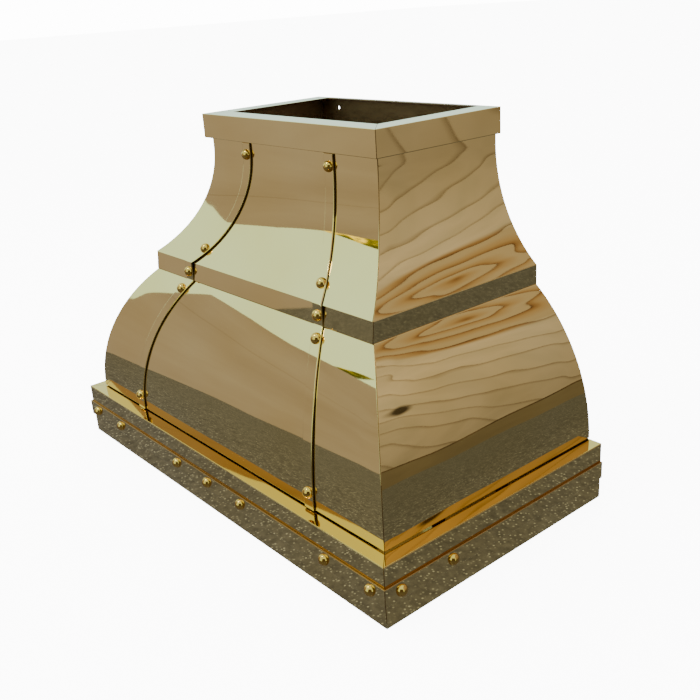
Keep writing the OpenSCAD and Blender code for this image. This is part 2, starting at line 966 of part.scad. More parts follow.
module damper_pin() {
    length = duct_outer - 1;
    color(STEEL) translate([0, collar_y, damper_z]) rotate([0, 90, 0])
        cylinder(h = length, d = damper_pin_diameter, center = true);
}

// Half-round flap that hangs on the pin by two eyes
module damper_flap(side, eyes) {
    leaf = 1;
    eye = 22;
    eye_diameter = 7;
    radius = duct_outer / 2 - collar_wall - 3;
    translate([0, collar_y, damper_z]) difference() {
        union() {
            translate([0, 0, -leaf / 2]) intersection() {
                cylinder(h = leaf, r = radius, $fn = 96);
                translate([-big / 2, side > 0 ? 4.2 : -big - 4.2, -1]) cube([big, big, 4]);
            }
            for (x = eyes) translate([x - eye / 2, 0, 0]) {
                rotate([0, 90, 0]) cylinder(h = eye, d = eye_diameter);
                translate([0, side > 0 ? 0 : -6, -leaf / 2]) cube([eye, 6, leaf]);
            }
        }
        rotate([0, 90, 0]) cylinder(h = big, d = damper_pin_diameter + fit, center = true);
    }
}

module damper_flap_front() {
    color(STEEL) damper_flap(-1, [-60, 12]);
}

module damper_flap_rear() {
    color(STEEL) damper_flap(1, [-12, 60]);
}

// ---- Electrics -----------------------------------------------------------

module junction_box() {
    wall = 1.5;
    color(ZINC) translate([-380, -150, liner_top]) difference() {
        cube([100, 80, 48]);
        translate([wall, wall, wall]) cube([100 - 2 * wall, 80 - 2 * wall, 48]);
        translate([50, 40, -1]) cylinder(h = 5, d = 17);
        translate([90, 40, 24]) rotate([0, 90, 0]) cylinder(h = 20, d = 16.4);
        translate([50, 90, 24]) rotate([90, 0, 0]) cylinder(h = 20, d = knockout);
    }
}

module junction_cover() {
    color(ZINC) translate([-382, -152, liner_top + 48]) cube([104, 84, 1.5]);
}

// Conduit for the motor's wires, from the junction box to the blower box
module motor_conduit() {
    start = -282;
    color(BLACK) translate([start, -110, supply_z]) rotate([0, 90, 0]) difference() {
        cylinder(h = -box_x + 3 - start, d = 16);
        translate([0, 0, -1]) cylinder(h = 200, d = 12);
    }
}

back_panel();
lower_wall_rail();
crown_front();
crown_left();
crown_right();
flare_front();
flare_left();
flare_right();
belt_front();
belt_left();
belt_right();
dome_front();
dome_left();
dome_right();
ledge_front();
ledge_left();
ledge_right();
apron_front();
apron_left();
apron_right();
strip_front();
strip_left();
strip_right();
strap_left();
strap_right();
strap_rivets();
strip_rivets();
dome_brackets();
liner_walls();
liner_deck();
light_panel();
filter_hinge_rod();
liner_screws();
filter_left();
filter_centre();
filter_right();
filter_handle_left();
filter_handle_centre();
filter_handle_right();
light_cans();
light_bezels();
light_lenses();
switch_bodies();
knob_fan();
knob_light();
blower_box_walls();
blower_box_top();
blower_box_screws();
scroll_housing();
motor_bracket();
motor();
motor_shaft();
blower_wheel();
duct_collar();
damper_pin();
damper_flap_front();
damper_flap_rear();
junction_box();
junction_cover();
motor_conduit();
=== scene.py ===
# %% [markdown]
# # A brass range hood
# The hood is bent and rolled sheet brass, polished like a mirror: a crown, a hollow
# flare, a flat belt, a round dome and an upright base, each a "course" that runs round
# the front and both sides. This lesson builds those courses from one profile, rivets
# the straps on with Geometry Nodes, and gives every metal its own finish. The packed
# model is the frame: it gives each part's place and size.

# %% Load the frame
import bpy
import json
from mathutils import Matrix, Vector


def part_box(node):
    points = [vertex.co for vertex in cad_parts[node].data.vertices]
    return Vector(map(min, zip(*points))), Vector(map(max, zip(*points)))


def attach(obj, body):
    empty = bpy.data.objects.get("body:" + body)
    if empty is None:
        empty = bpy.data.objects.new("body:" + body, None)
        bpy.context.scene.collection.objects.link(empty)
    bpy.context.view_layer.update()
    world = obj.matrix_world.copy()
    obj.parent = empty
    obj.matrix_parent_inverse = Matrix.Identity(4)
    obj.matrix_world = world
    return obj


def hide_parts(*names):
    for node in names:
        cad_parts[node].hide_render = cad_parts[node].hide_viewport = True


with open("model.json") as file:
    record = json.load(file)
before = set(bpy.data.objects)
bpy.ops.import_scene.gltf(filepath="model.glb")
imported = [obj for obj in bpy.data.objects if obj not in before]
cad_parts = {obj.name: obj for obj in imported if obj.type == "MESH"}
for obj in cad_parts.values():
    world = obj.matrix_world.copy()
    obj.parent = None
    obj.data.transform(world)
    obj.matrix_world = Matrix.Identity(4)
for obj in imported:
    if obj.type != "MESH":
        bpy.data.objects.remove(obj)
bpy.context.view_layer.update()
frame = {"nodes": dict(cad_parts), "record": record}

import json
import math
import bmesh
import bpy
import numpy as np
from mathutils import Matrix, Vector

MM = 0.001

# %% [markdown]
# The courses' sizes come from the frame's own boxes. The shell's outline changes with
# height only, so a height gives how far the sheet stands in from the base: its inset.
# The belt is set in further at the sides than at the front, so each face has its own.

# %% Sizes read from the frame
strip_low, strip_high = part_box("strip_front")
apron_low, apron_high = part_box("apron_front")
belt_low, belt_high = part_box("belt_front")
crown_low, crown_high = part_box("crown_front")
dome_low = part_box("dome_front")[0]

SHEET = 1.5 * MM
CROWN_STAND_OFF = 12 * MM
CROWN_FLANGE = 48 * MM
FLARE_RISE = 225 * MM
HALF_WIDTH = apron_high[0]
DEPTH = -apron_low[1]
APRON_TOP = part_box("ledge_front")[1][2]
DOME_FOOT = dome_low[2]
BELT_FOOT = belt_low[2]
BELT_TOP = belt_high[2]
NECK_FOOT = BELT_TOP + FLARE_RISE
CROWN_FOOT = crown_low[2]
TOP = crown_high[2]
LEDGE = DEPTH + dome_low[1]
BELT_INSET = {"front": DEPTH + belt_low[1], "side": HALF_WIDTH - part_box("belt_right")[1][0]}
CROWN_INSET = DEPTH + crown_low[1]
NECK_INSET = CROWN_INSET + CROWN_STAND_OFF
BAR = -strip_low[1] - DEPTH
print("base %.0f x %.0f mm, top at %.0f mm" % (2 * HALF_WIDTH / MM, DEPTH / MM, TOP / MM))

# %% [markdown]
# The neck and the dome are circular arcs that start upright, one hollow and one round.
# A straight neck stands on the flare, and the belt is flat. Every later piece asks
# these functions where the sheet is, so sheets, straps and rivets always agree.


# %% The profile of the shell
def arc_radius(spread, rise):
    """Radius of an arc that starts upright, spreads and rises by these amounts."""
    return (rise * rise + spread * spread) / (2 * spread)


def inset_at(z, face, cut=0.0):
    """How far in from the base the sheet is at height z, "cut" metres under its face."""
    belt = BELT_INSET[face]
    if z >= NECK_FOOT:
        return NECK_INSET + cut
    if z >= BELT_TOP:
        radius = arc_radius(NECK_INSET - belt, NECK_FOOT - BELT_TOP)
        return NECK_INSET - radius + math.sqrt((radius + cut) ** 2 - (NECK_FOOT - z) ** 2)
    if z > BELT_FOOT:
        return belt + cut
    radius = arc_radius(belt - LEDGE, BELT_FOOT - APRON_TOP)
    return LEDGE + radius - math.sqrt((radius - cut) ** 2 - (z - APRON_TOP) ** 2)


def tilt_at(z):
    """Angle by which the front sheet's face looks up, at height z."""
    belt = BELT_INSET["front"]
    if BELT_TOP < z < NECK_FOOT:
        return math.asin((NECK_FOOT - z) / arc_radius(NECK_INSET - belt, NECK_FOOT - BELT_TOP))
    if z < BELT_FOOT:
        return math.asin((z - APRON_TOP) / arc_radius(belt - LEDGE, BELT_FOOT - APRON_TOP))
    return 0.0


print("the dome looks up by %.0f degrees under the belt" % math.degrees(tilt_at(BELT_FOOT - MM)))

# %% [markdown]
# ## Camera
# The hood is looked down on from its right front corner, by somebody who stands close
# to it. A camera's axes are the columns of its matrix, so they are worked out from two
# angles and a small roll. That is easier to read than a rotation typed in by hand.

# %% Camera
CAMERA_PLACE = (1.4231, -1.3223, 0.9439)
CAMERA_AZIMUTH = math.radians(51.269)
CAMERA_ELEVATION = math.radians(21.375)
CAMERA_ROLL = math.radians(-3.951)
FOCAL_LENGTH = 45.784

back = Vector((math.sin(CAMERA_AZIMUTH) * math.cos(CAMERA_ELEVATION),
               -math.cos(CAMERA_AZIMUTH) * math.cos(CAMERA_ELEVATION), math.sin(CAMERA_ELEVATION)))
right = Vector((math.cos(CAMERA_AZIMUTH), math.sin(CAMERA_AZIMUTH), 0))
up = back.cross(right)
turn = Matrix.Rotation(CAMERA_ROLL, 3, back)
camera = bpy.data.objects.new("camera", bpy.data.cameras.new("camera"))
camera.data.sensor_width = 36
camera.data.lens = FOCAL_LENGTH
axes = Matrix((turn @ right, turn @ up, back)).transposed()
camera.matrix_world = Matrix.Translation(CAMERA_PLACE) @ axes.to_4x4()
bpy.context.scene.collection.objects.link(camera)
bpy.context.scene.camera = camera
print("camera looks down by %.1f degrees" % math.degrees(CAMERA_ELEVATION))


# %% [markdown]
# ## Helpers
# Every piece is a plain mesh at the origin with its place in its points, and every
# finish is a small node tree. These few functions save writing the same steps again.


# %% Helpers for meshes
def new_object(name, vertices, faces, materials=(), smooth=True):
    """A mesh object at the origin, linked to the scene, with its materials."""
    mesh = bpy.data.meshes.new(name)
    mesh.from_pydata([tuple(v) for v in vertices], [], faces)
    for material in materials:
        mesh.materials.append(material)
    mesh.shade_smooth() if smooth else mesh.shade_flat()
    made = bpy.data.objects.new(name, mesh)
    bpy.context.scene.collection.objects.link(made)
    return made


def clean(mesh, distance):
    """Merges doubled points, then turns every face outwards."""
    work = bmesh.new()
    work.from_mesh(mesh)
    bmesh.ops.remove_doubles(work, verts=work.verts, dist=distance)
    bmesh.ops.recalc_face_normals(work, faces=work.faces)
    work.to_mesh(mesh)
    work.free()


def tidy_mesh(made, distance=1e-6):
    """Cleans an object's mesh and returns the object."""
    clean(made.data, distance)
    return made


print("helpers for meshes ready")


# %% Helpers for node trees
def start_material(name):
    """An empty node tree with a surface shader; gives material, nodes, link and shader."""
    material = bpy.data.materials.new(name)
    material.use_nodes = True
    nodes = material.node_tree.nodes
    nodes.clear()
    shader = nodes.new("ShaderNodeBsdfPrincipled")
    output = nodes.new("ShaderNodeOutputMaterial")
    material.node_tree.links.new(shader.outputs[0], output.inputs[0])
    return material, nodes, material.node_tree.links.new, shader


def coordinates(nodes, link, stretch=(1, 1, 1)):
    """Object coordinates, stretched for grain that runs one way."""
    place = nodes.new("ShaderNodeTexCoord")
    mapping = nodes.new("ShaderNodeMapping")
    mapping.inputs["Scale"].default_value = stretch
    link(place.outputs["Object"], mapping.inputs["Vector"])
    return mapping.outputs["Vector"]


def noise(nodes, link, vector, scale, detail=4.0, roughness=0.5, distortion=0.0):
    made = nodes.new("ShaderNodeTexNoise")
    made.inputs["Scale"].default_value = scale
    made.inputs["Detail"].default_value = detail
    made.inputs["Roughness"].default_value = roughness
    made.inputs["Distortion"].default_value = distortion
    link(vector, made.inputs["Vector"])
    return made.outputs["Fac"]


def multiply(nodes, link, value, factor):
    """The product of a socket and a number or of two sockets."""
    made = nodes.new("ShaderNodeMath")
    made.operation = "MULTIPLY"
    link(value, made.inputs[0])
    if isinstance(factor, float):
        made.inputs[1].default_value = factor
    else:
        link(factor, made.inputs[1])
    return made.outputs[0]


print("helpers for patterns ready")


# %% Helpers for colour and relief
def ramp(nodes, link, value, stops):
    """A colour ramp from (place, colour) stops; a number stands for a grey."""
    made = nodes.new("ShaderNodeValToRGB")
    band = made.color_ramp
    while len(band.elements) < len(stops):
        band.elements.new(0.5)
    for element, (place, colour) in zip(band.elements, stops):
        element.position = place
        element.color = (colour,) * 3 + (1,) if isinstance(colour, float) else (*colour, 1)
    link(value, made.inputs["Fac"])
    return made.outputs["Color"]


def span(nodes, link, value, low, high, start=0.3, end=0.7):
    """Maps the middle of a noise to the range low to high."""
    made = nodes.new("ShaderNodeMapRange")
    made.inputs["From Min"].default_value = start
    made.inputs["From Max"].default_value = end
    made.inputs["To Min"].default_value = low
    made.inputs["To Max"].default_value = high
    link(value, made.inputs["Value"])
    return made.outputs["Result"]


def mix_colour(nodes, link, factor, first, second):
    made = nodes.new("ShaderNodeMix")
    made.data_type = "RGBA"
    link(factor, made.inputs["Factor"])
    for value, socket in ((first, "A"), (second, "B")):
        target = [s for s in made.inputs if s.name == socket and s.type == "RGBA"][0]
        if isinstance(value, tuple):
            target.default_value = (*value, 1)
        else:
            link(value, target)
    return [s for s in made.outputs if s.type == "RGBA"][0]


def bump(nodes, link, height, shader, strength, distance):
    made = nodes.new("ShaderNodeBump")
    made.inputs["Strength"].default_value = strength
    made.inputs["Distance"].default_value = distance
    link(height, made.inputs["Height"])
    link(made.outputs["Normal"], shader.inputs["Normal"])


print("helpers for colour ready")

# %% [markdown]
# ## The metals
# Real polished brass shows broad, faint changes of tint, wipe marks from the buffing
# wheel and a few hair scratches. Noise at three scales drives the tint, the roughness
# and a very shallow bump. The inside of the sheet was never polished, so it is a dull
# brown version of the same metal. A near-black brass is painted shadow on the bars' sides
# next to the sheet, and the soldered corners show as a thin red-brown line.


# %% Polished brass and its dull inside
def brass(name, pale, deep, rough, wipe):
    material, nodes, link, shader = start_material(name)
    shader.inputs["Metallic"].default_value = 1.0
    flat = coordinates(nodes, link)
    clouds = noise(nodes, link, flat, 3.5, 3.0)
    tint = ramp(nodes, link, clouds, [(0.3, pale), (0.75, deep)])
    spots = ramp(nodes, link, noise(nodes, link, flat, 55.0, 6.0, 0.7), [(0.68, 0.0), (0.8, 1.0)])
    faint = multiply(nodes, link, spots, 0.10)
    brown = (deep[0] * 0.8, deep[1] * 0.72, deep[2] * 0.6)
    link(mix_colour(nodes, link, faint, tint, brown), shader.inputs["Base Color"])
    wipes = noise(nodes, link, coordinates(nodes, link, (1, 1, 9)), 22.0, 5.0, 0.6, 0.6)
    link(span(nodes, link, wipes, rough[0], rough[1]), shader.inputs["Roughness"])
    scratches = noise(nodes, link, coordinates(nodes, link, (0.4, 0.4, 30)), 60.0, 3.0)
    bump(nodes, link, scratches, shader, wipe, 0.0002)
    return material


POLISHED = brass("polished_brass", (0.88, 0.68, 0.28), (0.84, 0.62, 0.22), (0.02, 0.04), 0.008)
RIVET_BRASS = brass("rivet_brass", (0.78, 0.48, 0.11), (0.64, 0.35, 0.06), (0.07, 0.13), 0.03)
DULL = brass("dull_brass", (0.36, 0.22, 0.10), (0.24, 0.14, 0.06), (0.38, 0.60), 0.25)
SHELF_BRASS = brass("shelf_brass", (0.80, 0.54, 0.15), (0.72, 0.45, 0.10), (0.03, 0.06), 0.01)
# Painted shadow: near-black brass for the straps' sides next to the sheet and for the small angles in the
# gap, so that both read as dark shade
PAINTED_SHADOW_BRASS = brass("cut_edge_brass", (0.055, 0.028, 0.012), (0.025, 0.012, 0.006), (0.3, 0.45), 0.3)
SEAM = brass("seam_brass", (0.34, 0.16, 0.04), (0.20, 0.085, 0.02), (0.22, 0.34), 0.2)
print("brass:", [metal.name for metal in (POLISHED, RIVET_BRASS, DULL, SHELF_BRASS, PAINTED_SHADOW_BRASS, SEAM)])

# %% [markdown]
# Below and inside, the hood is ordinary metalwork. Brushed and rolled sheets have a
# grain that runs one way, so their noise is stretched across it. A zinc coat freezes
# into flat crystals, which a cell pattern gives. Plastic, enamel and frosted glass are
# finely grained and not metallic.


# %% Steels, aluminium, glass and plastics
def grained(name, light, dark, rough, stretch, metallic=1.0, scale=40.0, depth=0.08):
    """A finish whose grain runs one way, as on brushed or rolled metal."""
    material, nodes, link, shader = start_material(name)
    shader.inputs["Metallic"].default_value = metallic
    grain = noise(nodes, link, coordinates(nodes, link, stretch), scale, 6.0, 0.65)
    clouds = noise(nodes, link, coordinates(nodes, link), 9.0, 4.0)
    both = nodes.new("ShaderNodeMath")
    both.operation = "MULTIPLY_ADD"
    both.inputs[1].default_value = 0.5
    link(grain, both.inputs[0])
    link(multiply(nodes, link, clouds, 0.5), both.inputs[2])
    link(ramp(nodes, link, both.outputs[0], [(0.35, dark), (0.65, light)]), shader.inputs["Base Color"])
    link(span(nodes, link, grain, rough[0], rough[1]), shader.inputs["Roughness"])
    bump(nodes, link, grain, shader, depth, 0.0004)
    return material


def spangled(name, light, dark):
    """Zinc coat: flat crystals of slightly different grey."""
    material, nodes, link, shader = start_material(name)
    shader.inputs["Metallic"].default_value = 1.0
    crystals = nodes.new("ShaderNodeTexVoronoi")
    crystals.inputs["Scale"].default_value = 95.0
    link(coordinates(nodes, link), crystals.inputs["Vector"])
    grey = nodes.new("ShaderNodeSeparateColor")
    link(crystals.outputs["Color"], grey.inputs[0])
    link(ramp(nodes, link, grey.outputs[0], [(0.1, dark), (0.9, light)]), shader.inputs["Base Color"])
    link(span(nodes, link, grey.outputs[1], 0.28, 0.5, 0.0, 1.0), shader.inputs["Roughness"])
    bump(nodes, link, grey.outputs[2], shader, 0.05, 0.0003)
    return material


print("helpers for grained and spangled metal ready")

# %% The other finishes
ZINC = spangled("galvanised_steel", (0.66, 0.69, 0.72), (0.48, 0.50, 0.53))
STAINLESS = grained("brushed_stainless", (0.66, 0.66, 0.65), (0.52, 0.52, 0.51), (0.2, 0.36), (1, 30, 30))
ALUMINIUM = grained("mill_aluminium", (0.78, 0.79, 0.80), (0.62, 0.63, 0.65), (0.24, 0.42), (30, 1, 30))
BRIGHT = grained("bright_steel", (0.75, 0.75, 0.75), (0.58, 0.58, 0.60), (0.14, 0.26), (8, 8, 1))
KNOB = grained("knob_steel", (0.70, 0.70, 0.69), (0.50, 0.50, 0.50), (0.18, 0.32), (1, 1, 25))
PLASTIC = grained("black_plastic", (0.045, 0.045, 0.047), (0.025, 0.025, 0.027), (0.4, 0.58), (1, 1, 1),
                  metallic=0.0, scale=900.0, depth=0.15)
ENAMEL = grained("motor_black", (0.055, 0.056, 0.06), (0.03, 0.03, 0.034), (0.3, 0.48), (1, 1, 1),
                 metallic=0.0, scale=420.0, depth=0.2)
GLASS = grained("frosted_glass", (0.93, 0.94, 0.90), (0.84, 0.85, 0.82), (0.35, 0.55), (1, 1, 1),
                metallic=0.0, scale=700.0, depth=0.12)
glass_shader = GLASS.node_tree.nodes["Principled BSDF"]
glass_shader.inputs["Transmission Weight"].default_value = 0.35
glass_shader.inputs["IOR"].default_value = 1.5
FINISH = {"polished_brass": POLISHED, "rivet_brass": RIVET_BRASS, "galvanised_steel": ZINC,
          "brushed_stainless": STAINLESS, "mill_aluminium": ALUMINIUM, "bright_steel": BRIGHT,
          "frosted_glass": GLASS, "black_plastic": PLASTIC, "motor_black": ENAMEL, "knob_steel": KNOB}
print(len(FINISH), "finishes")

# %% [markdown]
# Each part of the frame that stays in view gets the finish of its slot in the record.
# The back sheet is dull inside and out, because it faces the wall. The small angles
# behind the seam under the belt are painted nearly black, as painted shade in that gap.

# %% Give the frame's own parts their finishes
slot_of = {part["node"]: part["material_slot"] for part in frame["record"]["subparts"]}
for node_name, part in frame["nodes"].items():
    finish = FINISH[slot_of[node_name]]
    if node_name == "back_panel":
        finish = DULL
    # Painted shade: the small angles show in the dark gap, so they get the near-black brass
    if node_name == "dome_brackets":
        finish = PAINTED_SHADOW_BRASS
    for place in part.material_slots:
        place.material = finish
print("finished", len(slot_of), "frame parts")


# %% [markdown]
# ## The courses
# A course is a closed section run along the front or a side. At the corners its points
# stop where the front and side profiles meet, so neighbours form a mitre with a hair
# gap. The last ring steps back a little, which rounds the edge so that it catches light.
# Extra points close to every bend keep the flat metal between them truly flat.
# Rolled sheet is never quite flat: a shallow wave, under half a millimetre, bends the
# reflections as on the real hood, and fades out at the edges.


# %% Section of a curved sheet
def sheet_section(foot, top, steps, wall=SHEET, rounding=0.45 * MM):
    """Closed loop of (front inset, side inset, height, push) round a curved sheet."""
    def point(cut, z, push):
        return (inset_at(z, "front", cut), inset_at(z, "side", cut), z, push)

    hair = 1e-7
    heights = list(np.linspace(foot + 2 * rounding, top - 2 * rounding, steps))
    heights = [foot + rounding] + heights + [top - rounding - hair]
    low, high = foot + hair, top - hair
    loop = [point(0, z, 1) for z in heights]
    loop += [point(0.3 * rounding, high - 0.3 * rounding, 1), point(rounding, high, 0)]
    loop += [point(wall - rounding, high, 0), point(wall - 0.3 * rounding, high - 0.3 * rounding, -1)]
    loop += [point(wall, z, -1) for z in heights[::-1]]
    loop += [point(wall - 0.3 * rounding, low + 0.3 * rounding, -1), point(wall - rounding, low, 0)]
    loop += [point(rounding, low, 0), point(0.3 * rounding, low + 0.3 * rounding, 1)]
    return loop


print("a dome's section has", len(sheet_section(DOME_FOOT, BELT_FOOT, 60)), "points")


# %% Section of a folded strip
def bent_section(corners, rounding=0.45 * MM, shift=(0.0, 0.0)):
    """Closed loop round a folded strip, from its (inset, height) corners, edges rounded."""
    loop = []
    total = len(corners)
    near = 2 * rounding
    pitch = 12 * MM
    for i, here in enumerate(corners):
        here = np.array(here)
        before = np.array(corners[i - 1]) - here
        after = np.array(corners[(i + 1) % total]) - here
        r = min(rounding, np.linalg.norm(before) * 0.45, np.linalg.norm(after) * 0.45)
        a = here + before / np.linalg.norm(before) * r
        b = here + after / np.linalg.norm(after) * r
        middle = here * 0.5 + (a + b) * 0.25
        for p in (a, middle, b):
            loop.append((p[0] + shift[0], p[0] + shift[1], p[1], 0))
        length = np.linalg.norm(after)
        inner = [near, *np.arange(pitch, length - pitch, pitch), length - near]
        for t in inner if length > 6 * rounding else []:
            p = here + after / length * t
            loop.append((p[0] + shift[0], p[0] + shift[1], p[1], 0))
    return loop


print("a plain strip's section has", len(bent_section([(0, 0), (0, BAR), (BAR, BAR), (BAR, 0)])), "points")


# %% The shallow wave
def wave(u, z, low, high, reach, seed, height):
    """Depth of the shallow wave at u along and z up, fading at the edges."""
    edge = min(1.0, (reach - abs(u)) / 0.05, (z - low) / 0.03, (high - z) / 0.03)
    if edge <= 0:
        return 0.0
    k = 2 * math.pi
    ripple = (math.sin(k * (u / 0.41 + z / 0.9) + seed)
              + 0.8 * math.sin(k * (u / 0.23 - z / 0.31) + 2.1 * seed)
              + 0.5 * math.sin(k * (z / 0.17 + u / 0.6) + 3.7 * seed))
    return height * ripple * edge * edge * (3 - 2 * edge)


print("wave 0.1 m off the middle: %.2f of its height" % wave(0.1, 0.1, 0, 0.2, 0.4, 1.3, 1.0))


# %% Where a course's rings stand, and its finishes
EDGE_RINGS = 3


def ring_place(k, columns, start, end, seam):
    """Place of ring k along a course: close together at both ends, even between."""
    last = columns + 2 * EDGE_RINGS - 1
    if k < EDGE_RINGS:
        return start + k * seam
    if k > last - EDGE_RINGS:
        return end - (last - k) * seam
    return start + 4 * seam + (end - start - 8 * seam) * (k - EDGE_RINGS) / (columns - 1)


def finish_inside(made, sawn_top):
    """The inside is dull, and the bar's sawn top edge shows red-brown."""
    middle = Vector((0, -0.25, 0))
    for polygon in made.data.polygons:
        inwards = polygon.center - middle
        inwards.z = 0
        if polygon.normal.dot(inwards.normalized()) < -0.3:
            polygon.material_index = 1
        elif sawn_top and polygon.normal.z > 0.5:
            polygon.material_index = 2


print("each course has %d rings more than columns" % (2 * EDGE_RINGS))


# %% Run a section along a face
def course(name, node_name, section, face, columns=140, seed=None, height=0.12 * MM,
           gap=0.1 * MM, seam=0.8 * MM, metal=POLISHED):
    """Sweeps a section along the front, left or right, mitred at the corners."""
    low = min(p[2] for p in section)
    high = max(p[2] for p in section)
    vertices = []
    round_off = 0.3 * MM
    last = columns + 2 * EDGE_RINGS - 1
    for k in range(last + 1):
        for front_inset, side_inset, z, push in section:
            if face == "front":
                end = HALF_WIDTH - side_inset - gap
                start = -end
            else:
                start, end = -(DEPTH - front_inset - gap), 0.0
            u = ring_place(k, columns, start, end, seam)
            sink = round_off * push if k in (0, last) else 0.0
            if seed is not None and push:
                middle = (start + end) / 2
                sink += wave(u - middle, z, low, high, (end - start) / 2, seed, height)
            if face == "front":
                vertices.append((u, -(DEPTH - front_inset) + sink, z))
            else:
                vertices.append((HALF_WIDTH - side_inset - sink, u, z))
    n = len(section)
    faces = []
    for k in range(last):
        for i in range(n):
            j = (i + 1) % n
            faces.append((k * n + i, (k + 1) * n + i, (k + 1) * n + j, k * n + j))
    faces.append(tuple(range(n)))
    faces.append(tuple(reversed(range(last * n, (last + 1) * n))))
    if face == "left":
        vertices = [(-x, y, z) for x, y, z in vertices]
    made = new_object(name, vertices, faces, (metal, DULL, SEAM))
    for k in (0, last - 1) if face == "front" else (0,):
        for i in range(n):
            made.data.polygons[k * n + i].material_index = 2
    tidy_mesh(made)
    finish_inside(made, node_name.startswith("strip"))
    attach(made, "shell")
    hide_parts(node_name)
    return made


print("course ready")

# %% The flare and the dome
FACES = {"front": 1.3, "left": 2.6, "right": 4.1}
flare_section = sheet_section(BELT_TOP, TOP - SHEET, 56)
dome_section = sheet_section(DOME_FOOT, BELT_FOOT, 60)
for face, seed in FACES.items():
    columns = 170 if face == "front" else 100
    flare = course("flare_sheet_" + face, "flare_" + face, flare_section, face, columns, seed)
    dome = course("dome_sheet_" + face, "dome_" + face, dome_section, face, columns, seed + 0.9)
    print(face, "flare and dome:", len(flare.data.polygons) + len(dome.data.polygons), "faces")

# %% [markdown]
# The other courses are folded strips. The crown is an upright band with a flat mitred
# top that hides the edge of the neck, the belt is a channel, the ledge is a flat shelf
# and the base has a lip turned in under it. Each is listed as the corners of its
# section, and the same sweep makes it. The front of the belt leans back a little, so
# that it mirrors the board in front of the hood and not the ground.


# %% Corners of the folded strips
LIP = 14 * MM
TUCKED = 6 * MM
RETURN = 22 * MM
crown_lip = NECK_INSET - 0.3 * MM
crown_corners = [(CROWN_INSET, CROWN_FOOT), (CROWN_INSET, TOP), (CROWN_INSET + CROWN_FLANGE, TOP),
                 (CROWN_INSET + CROWN_FLANGE, TOP - SHEET), (CROWN_INSET + SHEET, TOP - SHEET),
                 (CROWN_INSET + SHEET, CROWN_FOOT + SHEET), (crown_lip, CROWN_FOOT + SHEET),
                 (crown_lip, CROWN_FOOT)]
ledge_corners = [(0, APRON_TOP - SHEET), (0, APRON_TOP), (LEDGE + TUCKED, APRON_TOP),
                 (LEDGE + TUCKED, APRON_TOP - SHEET)]
apron_corners = [(0, 0), (0, APRON_TOP - SHEET), (SHEET, APRON_TOP - SHEET), (SHEET, SHEET),
                 (RETURN, SHEET), (RETURN, 0)]
strip_corners = [(-BAR, strip_low[2]), (-BAR, strip_high[2]), (0, strip_high[2]), (0, strip_low[2])]
belt_corners = [(0, BELT_FOOT), (0, BELT_TOP), (LIP, BELT_TOP), (LIP, BELT_TOP - SHEET),
                (SHEET, BELT_TOP - SHEET), (SHEET, BELT_FOOT + SHEET), (LIP, BELT_FOOT + SHEET),
                (LIP, BELT_FOOT)]
print("crown band %.0f mm, belt %.0f mm" % ((TOP - CROWN_FOOT) / MM, (BELT_TOP - BELT_FOOT) / MM))

# %% Run the folded strips
belt_shift = (BELT_INSET["front"], BELT_INSET["side"])
BELT_LEAN = 4.4 * MM
belt_height = BELT_TOP - BELT_FOOT
belt_section = [(f + BELT_LEAN * ((z - BELT_FOOT) / belt_height - 0.5), s, z, push) for f, s, z, push
                in bent_section(belt_corners, 0.6 * MM, belt_shift)]
STRIPS = [("crown_band_", "crown_", bent_section(crown_corners, 0.8 * MM), POLISHED),
          ("belt_band_", "belt_", belt_section, POLISHED),
          ("ledge_shelf_", "ledge_", bent_section(ledge_corners, 0.7 * MM), SHELF_BRASS),
          ("apron_band_", "apron_", bent_section(apron_corners, 0.5 * MM), POLISHED),
          ("base_strip_", "strip_", bent_section(strip_corners, 0.9 * MM), POLISHED)]
for face in FACES:
    for name, node_name, section, metal in STRIPS:
        course(name + face, node_name + face, section, face, 60, metal=metal)
print(len(FACES) * len(STRIPS), "folded strips")

# %% [markdown]
# ## Straps
# Two flat bars follow the whole profile down the front. Seen from above they are straight,
# so they spread as the sheet comes forward and stand upright on the belt. Each level is a
# rounded rectangle, and rings close together at the belt's edges keep those bends crisp.
# The bars were sawn, and next to the sheet their sides are painted black, a line of painted shadow.


# %% The path of a strap
strap_low, strap_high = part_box("strap_right")
STRAP_WIDTH = 25 * MM
SPREAD = (strap_high[0] - strap_low[0] - STRAP_WIDTH) / (NECK_INSET - LEDGE + BAR)
STRAP_TOP_X = strap_low[0] + (STRAP_WIDTH + SPREAD * BAR) / 2
STRAP_TOP = CROWN_FOOT - 0.3 * MM


def strap_x(z):
    """Distance of a strap's middle line from the hood's middle line."""
    return STRAP_TOP_X + SPREAD * (NECK_INSET - inset_at(z, "front"))


def strap_inset(z, stand):
    """Inset of a surface that stands this far off the sheet, closed at the belt's edges."""
    belt = BELT_INSET["front"] - stand
    if z >= BELT_TOP:
        return max(inset_at(z, "front", -stand), belt)
    if z > BELT_FOOT + stand:
        return belt
    radius = arc_radius(BELT_INSET["front"] - LEDGE, BELT_FOOT - APRON_TOP)
    dome = LEDGE + radius - math.sqrt((radius + stand) ** 2 - (z - APRON_TOP) ** 2)
    return min(dome, belt) if z > BELT_FOOT else dome


print("straps run %.0f to %.0f mm off the middle" % (strap_x(TOP) / MM, strap_x(DOME_FOOT) / MM))


